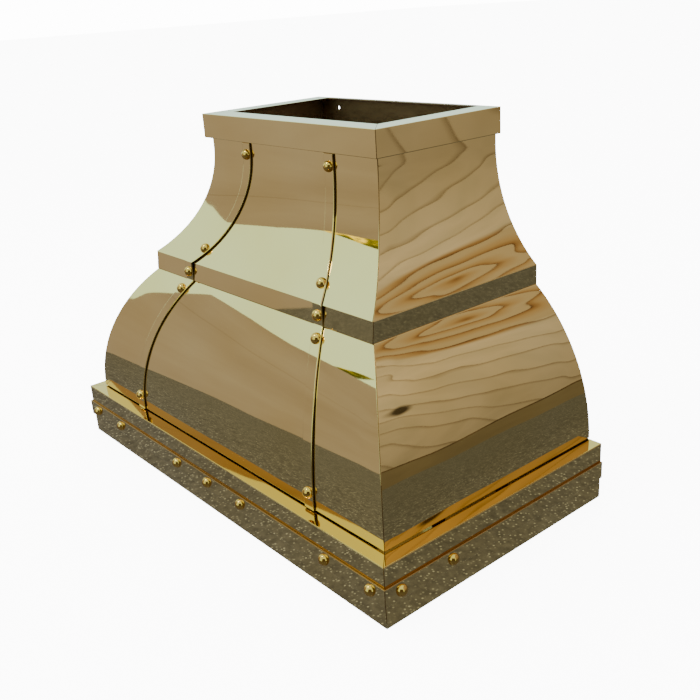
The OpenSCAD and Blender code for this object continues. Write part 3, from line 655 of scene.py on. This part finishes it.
# %% Make the straps
def strap(side):
    edge = STRAP_WIDTH / 2 - 0.1 * MM
    soft = 0.4 * MM
    right_half = [(edge, 0.05 * MM), (edge, 0.5 * BAR), (edge, BAR - soft),
                  (edge - 0.3 * soft, BAR - 0.3 * soft), (edge - soft, BAR),
                  (edge - 2 * soft, BAR), (edge / 3, BAR)]
    outline = [(-x, stand) for x, stand in right_half] + right_half[::-1]
    bends = [BELT_FOOT, BELT_FOOT + 1.5 * MM, BELT_TOP, BELT_TOP + 2.1 * MM]
    heights = list(np.linspace(DOME_FOOT, BELT_FOOT - 2 * MM, 56))
    heights += [bend + d * MM for bend in bends for d in (-0.8, -0.35, 0, 0.35, 0.8)]
    heights += list(np.linspace(BELT_FOOT + 5 * MM, BELT_TOP - 3 * MM, 6))
    heights += list(np.linspace(BELT_TOP + 5 * MM, STRAP_TOP, 50))
    heights = sorted(heights)
    vertices = [(side * strap_x(z) + x, -(DEPTH - strap_inset(z, stand)), z)
                for z in heights for x, stand in outline]
    n = len(outline)
    faces = [(k * n + i, k * n + (i + 1) % n, (k + 1) * n + (i + 1) % n, (k + 1) * n + i)
             for k in range(len(heights) - 1) for i in range(n)]
    faces += [tuple(range(n)), tuple(reversed(range((len(heights) - 1) * n, len(heights) * n)))]
    name = "strap_right" if side > 0 else "strap_left"
    made = new_object("bar_" + name, vertices, faces, (POLISHED, PAINTED_SHADOW_BRASS))
    # Painted shadow: the lower halves of both sides and the underside, next to the sheet, get the
    # near-black brass
    for index, polygon in enumerate(made.data.polygons[:-2]):
        if index % n in (0, n - 2, n - 1):
            polygon.material_index = 1
    tidy_mesh(made)
    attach(made, "shell")
    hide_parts(name)
    return made


for side in (-1, 1):
    print("strap", len(strap(side).data.polygons), "faces")

# %% [markdown]
# ## Rivets
# Twenty-one domed heads hold the straps and the strip. One head is turned as a
# template, and Geometry Nodes set it on every seat. Each seat is a point with an "aim",
# the way that its head faces, and a random turn about that aim keeps the wipe marks
# from repeating. The result is baked into one plain mesh for each group.


# %% Geometry Nodes that set one template on many seats
def seat_tree(name):
    """Instances an object on points, its Z turned along each point's "aim"."""
    tree = bpy.data.node_groups.new(name, "GeometryNodeTree")
    for socket, kind in (("Geometry", "Geometry"), ("Template", "Object"), ("Size", "Float"),
                         ("Turn Spread", "Float"), ("Finish", "Material")):
        tree.interface.new_socket(socket, in_out="INPUT", socket_type="NodeSocket" + kind)
    tree.interface.new_socket("Geometry", in_out="OUTPUT", socket_type="NodeSocketGeometry")
    node = tree.nodes.new
    link = tree.links.new
    entry, leave = node("NodeGroupInput"), node("NodeGroupOutput")
    template = node("GeometryNodeObjectInfo")
    aim = node("GeometryNodeInputNamedAttribute")
    aim.data_type = "FLOAT_VECTOR"
    aim.inputs["Name"].default_value = "aim"
    face_out = node("FunctionNodeAlignRotationToVector")
    face_out.axis = "Z"
    spin = node("FunctionNodeRandomValue")
    spin.data_type = "FLOAT"
    spin.inputs["Seed"].default_value = 7
    spin_axis = node("FunctionNodeAxisAngleToRotation")
    both = node("FunctionNodeRotateRotation")
    both.rotation_space = "LOCAL"
    place = node("GeometryNodeInstanceOnPoints")
    real = node("GeometryNodeRealizeInstances")
    finish = node("GeometryNodeSetMaterial")
    link(entry.outputs["Geometry"], place.inputs["Points"])
    link(entry.outputs["Template"], template.inputs["Object"])
    link(template.outputs["Geometry"], place.inputs["Instance"])
    link(aim.outputs["Attribute"], face_out.inputs["Vector"])
    low_socket = [s for s in spin.inputs if s.name == "Min" and s.type == "VALUE"][0]
    high_socket = [s for s in spin.inputs if s.name == "Max" and s.type == "VALUE"][0]
    low_socket.default_value = 0.0
    link(entry.outputs["Turn Spread"], high_socket)
    out_socket = [s for s in spin.outputs if s.type == "VALUE"][0]
    link(out_socket, spin_axis.inputs["Angle"])
    link(face_out.outputs["Rotation"], both.inputs["Rotation"])
    link(spin_axis.outputs["Rotation"], both.inputs["Rotate By"])
    link(both.outputs["Rotation"], place.inputs["Rotation"])
    link(entry.outputs["Size"], place.inputs["Scale"])
    link(place.outputs["Instances"], real.inputs["Geometry"])
    link(real.outputs["Geometry"], finish.inputs["Geometry"])
    link(entry.outputs["Finish"], finish.inputs["Material"])
    link(finish.outputs["Geometry"], leave.inputs["Geometry"])
    return tree


SEATS = seat_tree("set_on_seats")
print("seat tree has", len(SEATS.nodes), "nodes")


# %% Bake the tree for a set of seats
def set_on_seats(name, seats, template, finish, spread=0.0):
    """Bakes the tree for (place, direction) seats into one plain mesh object."""
    mesh = bpy.data.meshes.new(name)
    mesh.from_pydata([tuple(p) for p, _ in seats], [], [])
    aim = mesh.attributes.new("aim", "FLOAT_VECTOR", "POINT")
    aim.data.foreach_set("vector", [c for _, d in seats for c in d])
    made = bpy.data.objects.new(name, mesh)
    bpy.context.scene.collection.objects.link(made)
    modifier = made.modifiers.new("seats", "NODES")
    modifier.node_group = SEATS
    wanted = {"Template": template, "Size": 1.0, "Turn Spread": spread, "Finish": finish}
    for item in SEATS.interface.items_tree:
        if item.in_out == "INPUT" and item.name in wanted:
            modifier[item.identifier] = wanted[item.name]
    graph = bpy.context.evaluated_depsgraph_get()
    graph.update()
    baked = bpy.data.meshes.new_from_object(made.evaluated_get(graph), depsgraph=graph)
    made.modifiers.clear()
    made.data = baked
    made.data.name = name
    baked.shade_smooth()
    return made


print("seats can be filled")


# %% Turned templates
def spun(name, profile, segments):
    """A template turned about Z from (radius, height) points, left out of the scene."""
    vertices, faces = [], []
    for r, z in profile:
        if r < 1e-7:
            vertices.append((0, 0, z))
        else:
            vertices += [(r * math.cos(2 * math.pi * k / segments),
                          r * math.sin(2 * math.pi * k / segments), z) for k in range(segments)]
    start = 0
    for (r0, _), (r1, _) in zip(profile, profile[1:]):
        n0 = 1 if r0 < 1e-7 else segments
        n1 = 1 if r1 < 1e-7 else segments
        for k in range(segments):
            a, b = start + k % n0, start + (k + 1) % n0
            c, d = start + n0 + (k + 1) % n1, start + n0 + k % n1
            faces.append(tuple(dict.fromkeys((a, b, c, d))))
        start += n0
    mesh = bpy.data.meshes.new(name)
    mesh.from_pydata(vertices, [], faces)
    clean(mesh, 1e-7)
    mesh.shade_smooth()
    return bpy.data.objects.new(name, mesh)


print("turned shapes ready")

# %% One rivet
HEAD = 11 * MM
RISE = 10 * MM
ball = (HEAD * HEAD + RISE * RISE) / (2 * RISE)
start_angle = math.asin(HEAD / ball)
crown_points = [(ball * math.sin(a), RISE - ball + ball * math.cos(a))
                for a in np.linspace(0, start_angle, 15)]
rivet_profile = ([(0.0, RISE)] + crown_points[1:-1] + [(HEAD - 0.05 * MM, 0.6 * MM), (HEAD, 0.2 * MM),
                 (HEAD - 0.4 * MM, 0.0), (3 * MM, 0.0), (3 * MM, -6 * MM), (5 * MM, -6 * MM),
                 (5 * MM, -7.6 * MM), (0.0, -7.8 * MM)])
rivet = spun("rivet_template", rivet_profile, 40)
print("a rivet has", len(rivet.data.polygons), "faces")

# %% Seats on the straps and on the strip
STRAP_RIVETS = [CROWN_FOOT - 26 * MM, BELT_TOP + 25 * MM, (BELT_TOP + BELT_FOOT) / 2,
                BELT_FOOT - 19 * MM, APRON_TOP + 34 * MM]
strap_seats = []
for side in (-1, 1):
    for z in STRAP_RIVETS:
        tilt = tilt_at(z)
        out = Vector((0, -math.cos(tilt), math.sin(tilt)))
        foot = Vector((side * strap_x(z), inset_at(z, "front") - DEPTH, z))
        strap_seats.append((foot + out * (BAR + 0.1 * MM), out))
strip_z = (strip_low[2] + strip_high[2]) / 2
strip_seats = []
side_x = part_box("strip_right")[1][0]
STEPS = (37 * MM, 156 * MM)
MIDDLE = 120 * MM
for x in (-MIDDLE, 0, MIDDLE, *(side * (side_x - step) for side in (-1, 1) for step in STEPS)):
    strip_seats.append((Vector((x, strip_low[1] - 0.1 * MM, strip_z)), Vector((0, -1, 0))))
for side in (-1, 1):
    for step in STEPS:
        seat = Vector((side * (side_x + 0.1 * MM), strip_low[1] + step, strip_z))
        strip_seats.append((seat, Vector((side, 0, 0))))
for name, seats in (("strap_rivets", strap_seats), ("strip_rivets", strip_seats)):
    heads = set_on_seats("heads_" + name, seats, rivet, RIVET_BRASS, 6.28)
    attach(heads, "shell")
    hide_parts(name)
    print(name, len(seats), "rivets,", len(heads.data.polygons), "faces")

# %% [markdown]
# ## Filters, lamps and knobs underneath
# The three baffle filters are rows of rolled channels in a frame. The channels repeat,
# so the seat tree sets them too. Pulls are one bent wire each. Lamps and knobs are
# turned shapes, with extra points beside each edge so that it stays crisp when smooth.


# %% Helpers for turned and bent shapes
def crisp(profile, r=0.25 * MM):
    """Adds points close to each corner of a profile."""
    out = [profile[0]]
    for before, here, after in zip(profile, profile[1:], profile[2:]):
        for other in (before, after):
            gap = Vector(other) - Vector(here)
            out.append(tuple(Vector(here) + gap.normalized() * min(r, gap.length * 0.4)))
    return out + [profile[-1]]


def tube(path, radius, segments=14):
    """Vertices and faces of a round wire along a path in the xz plane."""
    vertices, faces = [], []
    count = len(path)
    for i, here in enumerate(path):
        run = (Vector(path[min(i + 1, count - 1)]) - Vector(path[max(i - 1, 0)])).normalized()
        side = Vector((0, 1, 0))
        other = run.cross(side)
        for k in range(segments):
            a = 2 * math.pi * k / segments
            vertices.append(Vector(here) + radius * (side * math.cos(a) + other * math.sin(a)))
    for i in range(count - 1):
        for k in range(segments):
            a, b = i * segments + k, i * segments + (k + 1) % segments
            faces.append((a, b, b + segments, a + segments))
    faces += [tuple(range(segments)), tuple(range((count - 1) * segments, count * segments))]
    return vertices, faces


print("helpers for turned and bent shapes ready")


# %% Helpers for boxes and joined shapes
def soft_box(low, high, edge=0.4 * MM):
    """A bar with its edges eased, as vertices and faces."""
    work = bmesh.new()
    bmesh.ops.create_cube(work, size=1)
    middle = (Vector(low) + Vector(high)) / 2
    size = Vector(high) - Vector(low)
    for v in work.verts:
        v.co = Vector([m + c * d for m, c, d in zip(middle, v.co, size)])
    bmesh.ops.bevel(work, geom=work.edges[:], offset=edge, segments=2, profile=0.5, affect="EDGES")
    work.verts.ensure_lookup_table()
    work.verts.index_update()
    made = [v.co.copy() for v in work.verts], [tuple(v.index for v in f.verts) for f in work.faces]
    work.free()
    return made


def merged(name, parts, material):
    """One object from several (vertices, faces) shapes."""
    vertices, faces = [], []
    for some_vertices, some_faces in parts:
        start = len(vertices)
        vertices += some_vertices
        faces += [tuple(start + i for i in face) for face in some_faces]
    made = tidy_mesh(new_object(name, vertices, faces, (material,)), 1e-7)
    made.data.set_sharp_from_angle(angle=math.radians(35))
    return made


def mesh_shape(made):
    """The vertices and faces of an object's mesh, and the object is thrown away."""
    shape = [v.co.copy() for v in made.data.vertices], [tuple(p.vertices) for p in made.data.polygons]
    bpy.data.objects.remove(made)
    return shape


def declare(made, body, node_name):
    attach(made, body)
    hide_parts(node_name)
    return len(made.data.polygons)


print("helpers for the insert ready")

# %% One channel of a baffle
SLATS = 9
LEAF = 1.5 * MM
FRAME = 2 * MM
PLATE = 374 * MM
UP = Vector((0, 0, 1))
filter_low, filter_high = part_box("filter_centre")
front_y, rear_y = filter_low[1], filter_low[1] + PLATE
base_z, top_z = filter_low[2], filter_high[2]
slat_pitch = (filter_high[0] - filter_low[0] - 2 * FRAME) / SLATS
half_slat = slat_pitch * 0.31


def channel(depth):
    """A rolled channel from front to rear, open upwards, its mouth edges at z = depth."""
    turn = 2.2 * MM
    outer = [(-half_slat, depth), (-half_slat, turn)]
    for angle in (0.5, 1.05, 1.57):
        outer.append((-half_slat + turn * (1 - math.cos(angle)), turn * (1 - math.sin(angle))))
    outer += [(-x, z) for x, z in reversed(outer)]
    inner = [(x * (half_slat - LEAF) / half_slat, max(z, LEAF) if z < depth else z) for x, z in outer]
    loop = outer + inner[::-1]
    vertices = [(x, y, z) for y in (front_y + 1 * MM, rear_y - 1 * MM) for x, z in loop]
    n = len(loop)
    faces = [(i, (i + 1) % n, (i + 1) % n + n, i + n) for i in range(n)]
    faces += [tuple(range(n)), tuple(range(n, 2 * n))]
    made = tidy_mesh(new_object("channel_template", vertices, faces), 1e-7)
    bpy.context.scene.collection.objects.unlink(made)
    return made


low_channel = channel(4.8 * MM)
high_channel = channel(2.2 * MM)
print("channels every %.1f mm" % (slat_pitch / MM))


# %% A baffle filter and its hinge eyes
EYE_HEIGHT = 33 * MM
EYE_HALF = 15 * MM


def eye_parts(x, hinge_y):
    """A ring that turns on the hinge rod, and the tongue that carries it."""
    bore, skin, half_tongue = 3.1 * MM, 5.5 * MM, 4 * MM
    ring = crisp([(bore, -EYE_HALF), (skin, -EYE_HALF), (skin, EYE_HALF), (bore, EYE_HALF),
                  (bore, -EYE_HALF)])
    shape = spun("eye", ring, 28)
    lay = Matrix.Translation((x, hinge_y, EYE_HEIGHT)) @ Matrix.Rotation(math.pi / 2, 4, "Y")
    shape.data.transform(lay)
    tongue = soft_box((x - EYE_HALF, rear_y - 1 * MM, EYE_HEIGHT - half_tongue),
                      (x + EYE_HALF, hinge_y - 3.5 * MM, EYE_HEIGHT + half_tongue))
    return [mesh_shape(shape), tongue]


def baffle(place):
    """A frame with a low and a high row of channels, hung on two eyes."""
    node_name = "filter_" + place
    low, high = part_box(node_name)
    left, right_side = low[0] + FRAME, high[0] - FRAME
    low_seats = [(Vector((left + (i + 0.5) * slat_pitch, 0, base_z + 1 * MM)), UP) for i in range(SLATS)]
    high_seats = [(Vector((left + i * slat_pitch, 0, top_z - 3.2 * MM)), UP) for i in range(1, SLATS)]
    parts = [mesh_shape(set_on_seats("low_row", low_seats, low_channel, STAINLESS)),
             mesh_shape(set_on_seats("high_row", high_seats, high_channel, STAINLESS))]
    bars = [((low[0], front_y, base_z), (left, rear_y, top_z)),
            ((right_side, front_y, base_z), (high[0], rear_y, top_z)),
            ((left, front_y, base_z), (right_side, front_y + FRAME, top_z)),
            ((left, rear_y - FRAME, base_z), (right_side, rear_y, top_z))]
    parts += [soft_box(a, b) for a, b in bars]
    for off_middle in (-100 * MM, 100 * MM):
        parts += eye_parts((low[0] + high[0]) / 2 + off_middle, high[1] - 5.5 * MM)
    return declare(merged("baffles_" + place, parts, STAINLESS), node_name, node_name)


print("baffle ready, its eyes %.0f mm up" % (EYE_HEIGHT / MM))


# %% A filter's pull
def pull(place):
    """One wire, bent down, across and up again."""
    low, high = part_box("filter_handle_" + place)
    wire, bend = 2 * MM, 6 * MM
    left, right_leg = low[0] + wire, high[0] - wire
    y, foot = (low[1] + high[1]) / 2, low[2] + wire
    down = [(left, y, high[2])]
    for angle in np.linspace(0, math.pi / 2, 7):
        across, rise = bend * (1 - math.cos(angle)), bend * (1 - math.sin(angle))
        down.append((left + across, y, foot + rise))
    back_up = [(left + right_leg - x, y, z) for x, y, z in reversed(down)]
    made = merged("pull_" + place, [tube(down + back_up, wire)], BRIGHT)
    return declare(made, "filter_" + place, "filter_handle_" + place)


for place in ("left", "centre", "right"):
    print("filter", place, baffle(place), "faces, and its pull", pull(place))

# %% [markdown]
# Two lamps and two knobs sit in the panel in front of the filters. A lamp is a turned
# rim round a slightly domed glass, given in millimetres as (radius, height) points, so
# the seat tree sets both at once. Each knob rides its own body, so it is made alone.

# %% Lamps
bezel_low, bezel_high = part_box("light_bezels")
RIM = 40
lamp_y = (bezel_low[1] + bezel_high[1]) / 2
lamp_x = bezel_high[0] - RIM * MM
rim_shape = [(27, -3), (38, -3), (39.4, -2.5), (RIM, -1.6), (RIM, 0), (30.5, 0), (30.5, -1.5),
             (27, -1.5), (27, -3)]
glass_shape = [(0, -1.4), (14, -1.35), (24, -1.2), (28.6, -0.9), (30, -0.2), (30, 1.0), (0, 1.1)]
lamp_seats = [(Vector((side * lamp_x, lamp_y, bezel_high[2])), UP) for side in (-1, 1)]
for name, node_name, shape, finish in (("rims", "light_bezels", rim_shape, STAINLESS),
                                       ("glasses", "light_lenses", glass_shape, GLASS)):
    template = spun(name + "_template", crisp([(r * MM, z * MM) for r, z in shape], 0.2 * MM), 72)
    made = set_on_seats("lamp_" + name, lamp_seats, template, finish)
    print(name, declare(made, "shell", node_name), "faces")


# %% Knobs
def knob(node_name, body):
    """A turned knob with a milled grip, a pointer rib and its spindle."""
    low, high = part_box(node_name)
    x, y = (low[0] + high[0]) / 2, (low[1] + high[1]) / 2
    r = (high[0] - low[0]) / 2
    spindle, grooves = 3 * MM, 48
    face_z, crown_z = low[2] + 1 * MM, low[2] + 17 * MM
    profile = [(0.0, face_z), (r - 1.5 * MM, face_z), (r, face_z + 2 * MM), (r, crown_z - 1 * MM),
               (r - 1 * MM, crown_z), (spindle, crown_z), (spindle, high[2]), (0.0, high[2])]
    shape = spun("knob", crisp(profile, 0.3 * MM), 4 * grooves)
    for v in shape.data.vertices:
        if v.co.xy.length > r - 0.05 * MM:
            angle = math.atan2(v.co.y, v.co.x)
            v.co.xy *= 1 - 0.025 * (0.5 + 0.5 * math.cos(grooves * angle))
        v.co.x += x
        v.co.y += y
    rib = soft_box((x - 1.2 * MM, y, low[2]), (x + 1.2 * MM, y + 12 * MM, face_z + 1 * MM))
    return declare(merged("turned_" + node_name, [mesh_shape(shape), rib], KNOB), body, node_name)


print("knobs", knob("knob_fan", "fan_knob"), knob("knob_light", "light_knob"), "faces")

# %% [markdown]
# ## Studio
# The floor is matt and pale, and mirror reflections pass through it to the stone card
# below. A big soft lamp stands over the left shoulder, and one under the floor
# lights the filters for views from beneath.


# %% Floor
floor_material, nodes, link, shader = start_material("pale_floor")
mottle = noise(nodes, link, coordinates(nodes, link), 2.5, 5.0)
link(ramp(nodes, link, mottle, [(0.3, 0.86), (0.7, 0.90)]), shader.inputs["Base Color"])
shader.inputs["Roughness"].default_value = 0.9
shader.inputs["Emission Color"].default_value = (1, 1, 1, 1)
shader.inputs["Emission Strength"].default_value = 9.0
one_sided = nodes.new("ShaderNodeMixShader")
clear = nodes.new("ShaderNodeBsdfTransparent")
facing = nodes.new("ShaderNodeNewGeometry")
link(facing.outputs["Backfacing"], one_sided.inputs[0])
link(shader.outputs[0], one_sided.inputs[1])
link(clear.outputs[0], one_sided.inputs[2])
link(one_sided.outputs[0], nodes["Material Output"].inputs[0])
floor = new_object("floor", [(-60, -60, 0), (60, -60, 0), (60, 60, 0), (-60, 60, 0)], [(0, 1, 2, 3)],
                   (floor_material,), smooth=False)
floor.visible_glossy = False
floor.visible_shadow = False
print("floor ready")


# %% Lamps of the studio
def lamp(name, place, target, size, power, mirror=False):
    data = bpy.data.lights.new(name, "AREA")
    data.shape = "DISK"
    data.size = size
    data.energy = power
    made = bpy.data.objects.new(name, data)
    made.location = place
    aim = Vector(target) - Vector(place)
    made.rotation_euler = aim.to_track_quat("-Z", "Y").to_euler()
    made.visible_glossy = mirror
    bpy.context.scene.collection.objects.link(made)
    return made


MIDDLE_OF_HOOD = (0, -0.2, 0.3)
lamp("soft_lamp", (-1.8, -2.4, 3.4), MIDDLE_OF_HOOD, 2.6, 90)
lamp("fill_lamp", (3.0, -1.0, 2.2), MIDDLE_OF_HOOD, 2.0, 25)
lamp("window_spot", (-0.6, -1.6, 3.2), (0, -0.3, 0.3), 0.5, 22, mirror=True)
lamp("under_lamp", (0.0, -0.3, -1.8), (0, -0.3, 0), 1.6, 30)
print("four lamps")

# %% [markdown]
# ## What the brass mirrors
# Polished brass has hardly any colour of its own: it shows its surroundings. Round the
# hood stand cards that only mirror reflections see: speckled stone below, a low tan
# board in front on the left, a tall panel of sawn timber with a knot on the right, a
# dark skirting at its foot, and a sunlit bush behind. They glow softly with their own
# patterns, so they need no light and throw none.


# %% Helpers for card materials
def shining(name):
    """A card material without its pattern: nodes, link and the shader that glows."""
    material = bpy.data.materials.new(name)
    material.use_nodes = True
    nodes = material.node_tree.nodes
    nodes.clear()
    link = material.node_tree.links.new
    shine = nodes.new("ShaderNodeEmission")
    output = nodes.new("ShaderNodeOutputMaterial")
    link(shine.outputs[0], output.inputs[0])
    return material, nodes, link, shine


def blob(nodes, link, centre, size, soft=0.5):
    """One inside an ellipsoid, nought outside, with a soft edge."""
    mapping = nodes.new("ShaderNodeMapping")
    mapping.vector_type = "POINT"
    mapping.inputs["Location"].default_value = [-c / s for c, s in zip(centre, size)]
    mapping.inputs["Scale"].default_value = [1 / s for s in size]
    place = nodes.new("ShaderNodeTexCoord")
    link(place.outputs["Object"], mapping.inputs["Vector"])
    length = nodes.new("ShaderNodeVectorMath")
    length.operation = "LENGTH"
    link(mapping.outputs["Vector"], length.inputs[0])
    return span(nodes, link, length.outputs["Value"], 1.0, 0.0, 1 - soft, 1.0), mapping.outputs["Vector"]


def glow(name, stops, scale, detail=4.0, distortion=0.0):
    """A card material that shines with one noise pattern."""
    material, nodes, link, shine = shining(name)
    pattern = noise(nodes, link, coordinates(nodes, link), scale, detail, 0.6, distortion)
    link(ramp(nodes, link, pattern, stops), shine.inputs["Color"])
    return material


print("helpers for cards ready")

# %% Stone: dark and cloudy, with a light fleck in some of the grains
stone, nodes, link, shine = shining("stone_card")
grains = nodes.new("ShaderNodeTexVoronoi")
grains.inputs["Scale"].default_value = 165.0
link(coordinates(nodes, link), grains.inputs["Vector"])
fleck = ramp(nodes, link, grains.outputs["Distance"], [(0.24, 1.0), (0.40, 0.0)])
which = nodes.new("ShaderNodeSeparateColor")
link(grains.outputs["Color"], which.inputs[0])
some = ramp(nodes, link, which.outputs[0], [(0.45, 0.0), (0.9, 1.0)])
lit = multiply(nodes, link, fleck, some)
clouds = noise(nodes, link, coordinates(nodes, link), 55.0, 6.0, 0.7)
base = ramp(nodes, link, clouds, [(0.35, (0.105, 0.112, 0.135)), (0.68, (0.20, 0.215, 0.25))])
link(mix_colour(nodes, link, lit, base, (0.50, 0.56, 0.66)), shine.inputs["Color"])
dim = nodes.new("ShaderNodeSeparateXYZ")
link(coordinates(nodes, link), dim.inputs[0])
link(span(nodes, link, dim.outputs["X"], 1.0, 0.72, 0.4, 0.9), shine.inputs["Strength"])
print("stone has", len(nodes), "nodes")

# %% Left board: tan, with a level joint
board, nodes, link, shine = shining("tan_board")
mottle = noise(nodes, link, coordinates(nodes, link, (1, 1, 3)), 1.1, 5.0)
tan = ramp(nodes, link, mottle, [(0.3, (0.40, 0.36, 0.37)), (0.7, (0.47, 0.44, 0.47))])
level = nodes.new("ShaderNodeSeparateXYZ")
link(coordinates(nodes, link), level.inputs[0])
joint = ramp(nodes, link, level.outputs["Z"], [(0.0, 0.0), (0.915, 0.0), (0.92, 1.0), (0.925, 0.0)])
link(mix_colour(nodes, link, joint, tan, (0.30, 0.26, 0.24)), shine.inputs["Color"])
print("board has", len(nodes), "nodes")

# %% Right wall: pale wood with wavy growth lines and a big brown knot
timber, nodes, link, shine = shining("timber_wall")
near_knot, from_knot = blob(nodes, link, (1.38, 2.0, 2.50), (0.55, 0.55, 1.05), 0.10)
rings = nodes.new("ShaderNodeTexWave")
rings.wave_type = "RINGS"
rings.rings_direction = "SPHERICAL"
rings.wave_profile = "SAW"
rings.inputs["Scale"].default_value = 1.0
rings.inputs["Distortion"].default_value = 17.0
rings.inputs["Detail"].default_value = 3.0
rings.inputs["Detail Scale"].default_value = 0.55
rings.inputs["Detail Roughness"].default_value = 0.5
link(from_knot, rings.inputs["Vector"])
line = ramp(nodes, link, rings.outputs["Fac"], [(0.0, 1.0), (0.05, 0.55), (0.16, 0.12), (0.9, 0.0)])
wood = noise(nodes, link, coordinates(nodes, link, (1, 1, 0.5)), 1.6, 4.0, 0.55, 0.8)
pale = ramp(nodes, link, wood, [(0.3, (0.46, 0.43, 0.43)), (0.5, (0.58, 0.53, 0.54)),
                                (0.7, (0.48, 0.46, 0.47))])
lined = mix_colour(nodes, link, line, pale, (0.22, 0.18, 0.15))
heart = ramp(nodes, link, rings.outputs["Fac"], [(0.0, (0.06, 0.03, 0.02)), (0.06, (0.25, 0.15, 0.08)),
                                                 (0.25, (0.37, 0.27, 0.18)), (0.7, (0.42, 0.36, 0.31))])
knotted = mix_colour(nodes, link, near_knot, lined, heart)
eye, _ = blob(nodes, link, (2.27, 1.14, 1.38), (0.085, 0.085, 0.13), 0.45)
link(mix_colour(nodes, link, eye, knotted, (0.06, 0.05, 0.04)), shine.inputs["Color"])
level = nodes.new("ShaderNodeSeparateXYZ")
link(coordinates(nodes, link), level.inputs[0])
link(span(nodes, link, level.outputs["Z"], 0.62, 1.20, 0.3, 1.9), shine.inputs["Strength"])
print("timber has", len(nodes), "nodes")

# %% Skirting, the line at its top, the bush and the dark rear
skirt = glow("skirting", [(0.35, (0.135, 0.120, 0.100)), (0.65, (0.165, 0.150, 0.125))], 3.0)
foot_line = glow("skirting_edge", [(0.35, (0.05, 0.035, 0.02)), (0.65, (0.10, 0.07, 0.04))], 9.0)
leaves = [(0.40, (0.10, 0.12, 0.01)), (0.50, (0.42, 0.42, 0.03)),
          (0.56, (1.9, 1.6, 0.25)), (0.7, (2.6, 2.3, 0.8))]
bush = glow("sunlit_bush", leaves, 2.3, detail=6.0, distortion=0.8)
rear = glow("rear_wall", [(0.35, (0.05, 0.045, 0.04)), (0.65, (0.16, 0.14, 0.12))], 1.5, detail=5.0)
print("plain card materials:", skirt.name, foot_line.name, bush.name, rear.name)


# %% Helpers that stand a card in its place
def along_wall(u, z, forward=0.0):
    """A point u along the right wall and z up, moved forward towards the hood."""
    start, end = Vector((3.9, -0.4, 0)), Vector((0.2, 3.1, 0))
    run = (end - start).normalized()
    out = Vector((-run.y, run.x, 0))
    if out.dot(Vector((0, 0, 0)) - start) < 0:
        out = -out
    return start + run * u + out * forward + Vector((0, 0, z))


def hide_card(made):
    """Only mirror reflections see a card."""
    made.visible_camera = False
    made.visible_diffuse = False
    made.visible_shadow = False
    made.visible_transmission = False


def wall_card(name, outline, material, forward=0.0):
    made = new_object(name, [along_wall(u, z, forward) for u, z in outline],
                      [tuple(range(len(outline)))], (material,), smooth=False)
    hide_card(made)


def flat_card(name, corners, material):
    hide_card(new_object(name, corners, [tuple(range(len(corners)))], (material,), smooth=False))


print("cards can be placed")

# %% Place the cards
OUTER = 12
STONE_LEVEL = -0.004
for name, x0, x1, y0, y1 in (("front", -OUTER, OUTER, -OUTER, -DEPTH), ("rear", -OUTER, OUTER, 0, OUTER),
                             ("left", -OUTER, -HALF_WIDTH, -DEPTH, 0),
                             ("right", HALF_WIDTH, OUTER, -DEPTH, 0)):
    corners = [(x, y, STONE_LEVEL) for x, y in ((x0, y0), (x1, y0), (x1, y1), (x0, y1))]
    flat_card("stone_" + name, corners, stone)
BOARD_X = -1.62
BOARD_TOP = [(-1.06, 1.18), (-1.30, 1.27), (-1.60, 1.33), (-1.90, 1.46), (-2.20, 1.56), (-4.0, 2.0)]
flat_card("left_board", [(BOARD_X, -1.07, 0), (BOARD_X, -4.0, 0)]
          + [(BOARD_X, y, z) for y, z in reversed(BOARD_TOP)], board)
BUSH_X = -6
BUSH_OUTLINE = [(-4.45, 1.5), (-5.55, 1.5), (-5.55, 4.45), (-5.35, 4.35), (-5.05, 3.85),
                (-4.75, 3.42), (-4.45, 2.95)]
flat_card("far_bush", [(BUSH_X, y, z) for y, z in BUSH_OUTLINE], bush)
WALL_FOOT = [(0, 0.42), (1.80, 0.40), (1.95, 0.33), (2.12, 0.26), (5.09, 0.245)]
WALL_END, WALL_TOP = WALL_FOOT[-1][0], 4.6
wall_card("right_wall", WALL_FOOT + [(WALL_END, WALL_TOP), (0, WALL_TOP)], timber)
wall_card("right_skirting", WALL_FOOT[::-1] + [(0, STONE_LEVEL), (WALL_END, STONE_LEVEL)], skirt)
flat_card("behind_the_lens", [(4.6, -1.3, 0), (1.6, -4.3, 0), (1.6, -4.3, 3.4), (4.6, -1.3, 3.4)], rear)
wall_card("skirting_line", WALL_FOOT + [(u, z - 0.022) for u, z in WALL_FOOT[::-1]], foot_line, 0.02)
print("nine cards and a bush")

# %% [markdown]
# The room itself is the world. The camera sees plain white, soft light comes from all
# sides for the matt parts, and a mirror sees a pale sky wherever no card stands.

# %% The room
room = bpy.data.worlds.new("room")
bpy.context.scene.world = room
room.use_nodes = True
nodes, link = room.node_tree.nodes, room.node_tree.links.new
nodes.clear()
white = nodes.new("ShaderNodeBackground")
white.inputs["Color"].default_value = (1, 1, 1, 1)
white.inputs["Strength"].default_value = 2.5
sky = nodes.new("ShaderNodeBackground")
sky.inputs["Color"].default_value = (1.10, 1.56, 1.55, 1)
plain = nodes.new("ShaderNodeBackground")
plain.inputs["Color"].default_value = (1, 1, 1, 1)
plain.inputs["Strength"].default_value = 14.0
seen = nodes.new("ShaderNodeMixShader")
path = nodes.new("ShaderNodeLightPath")
choose = nodes.new("ShaderNodeMixShader")
output = nodes.new("ShaderNodeOutputWorld")
link(path.outputs["Is Glossy Ray"], choose.inputs[0])
link(white.outputs[0], choose.inputs[1])
link(sky.outputs[0], choose.inputs[2])
link(path.outputs["Is Camera Ray"], seen.inputs[0])
link(choose.outputs[0], seen.inputs[1])
link(plain.outputs[0], seen.inputs[2])
link(seen.outputs[0], output.inputs[0])
print("a white room with a pale sky in the mirror")
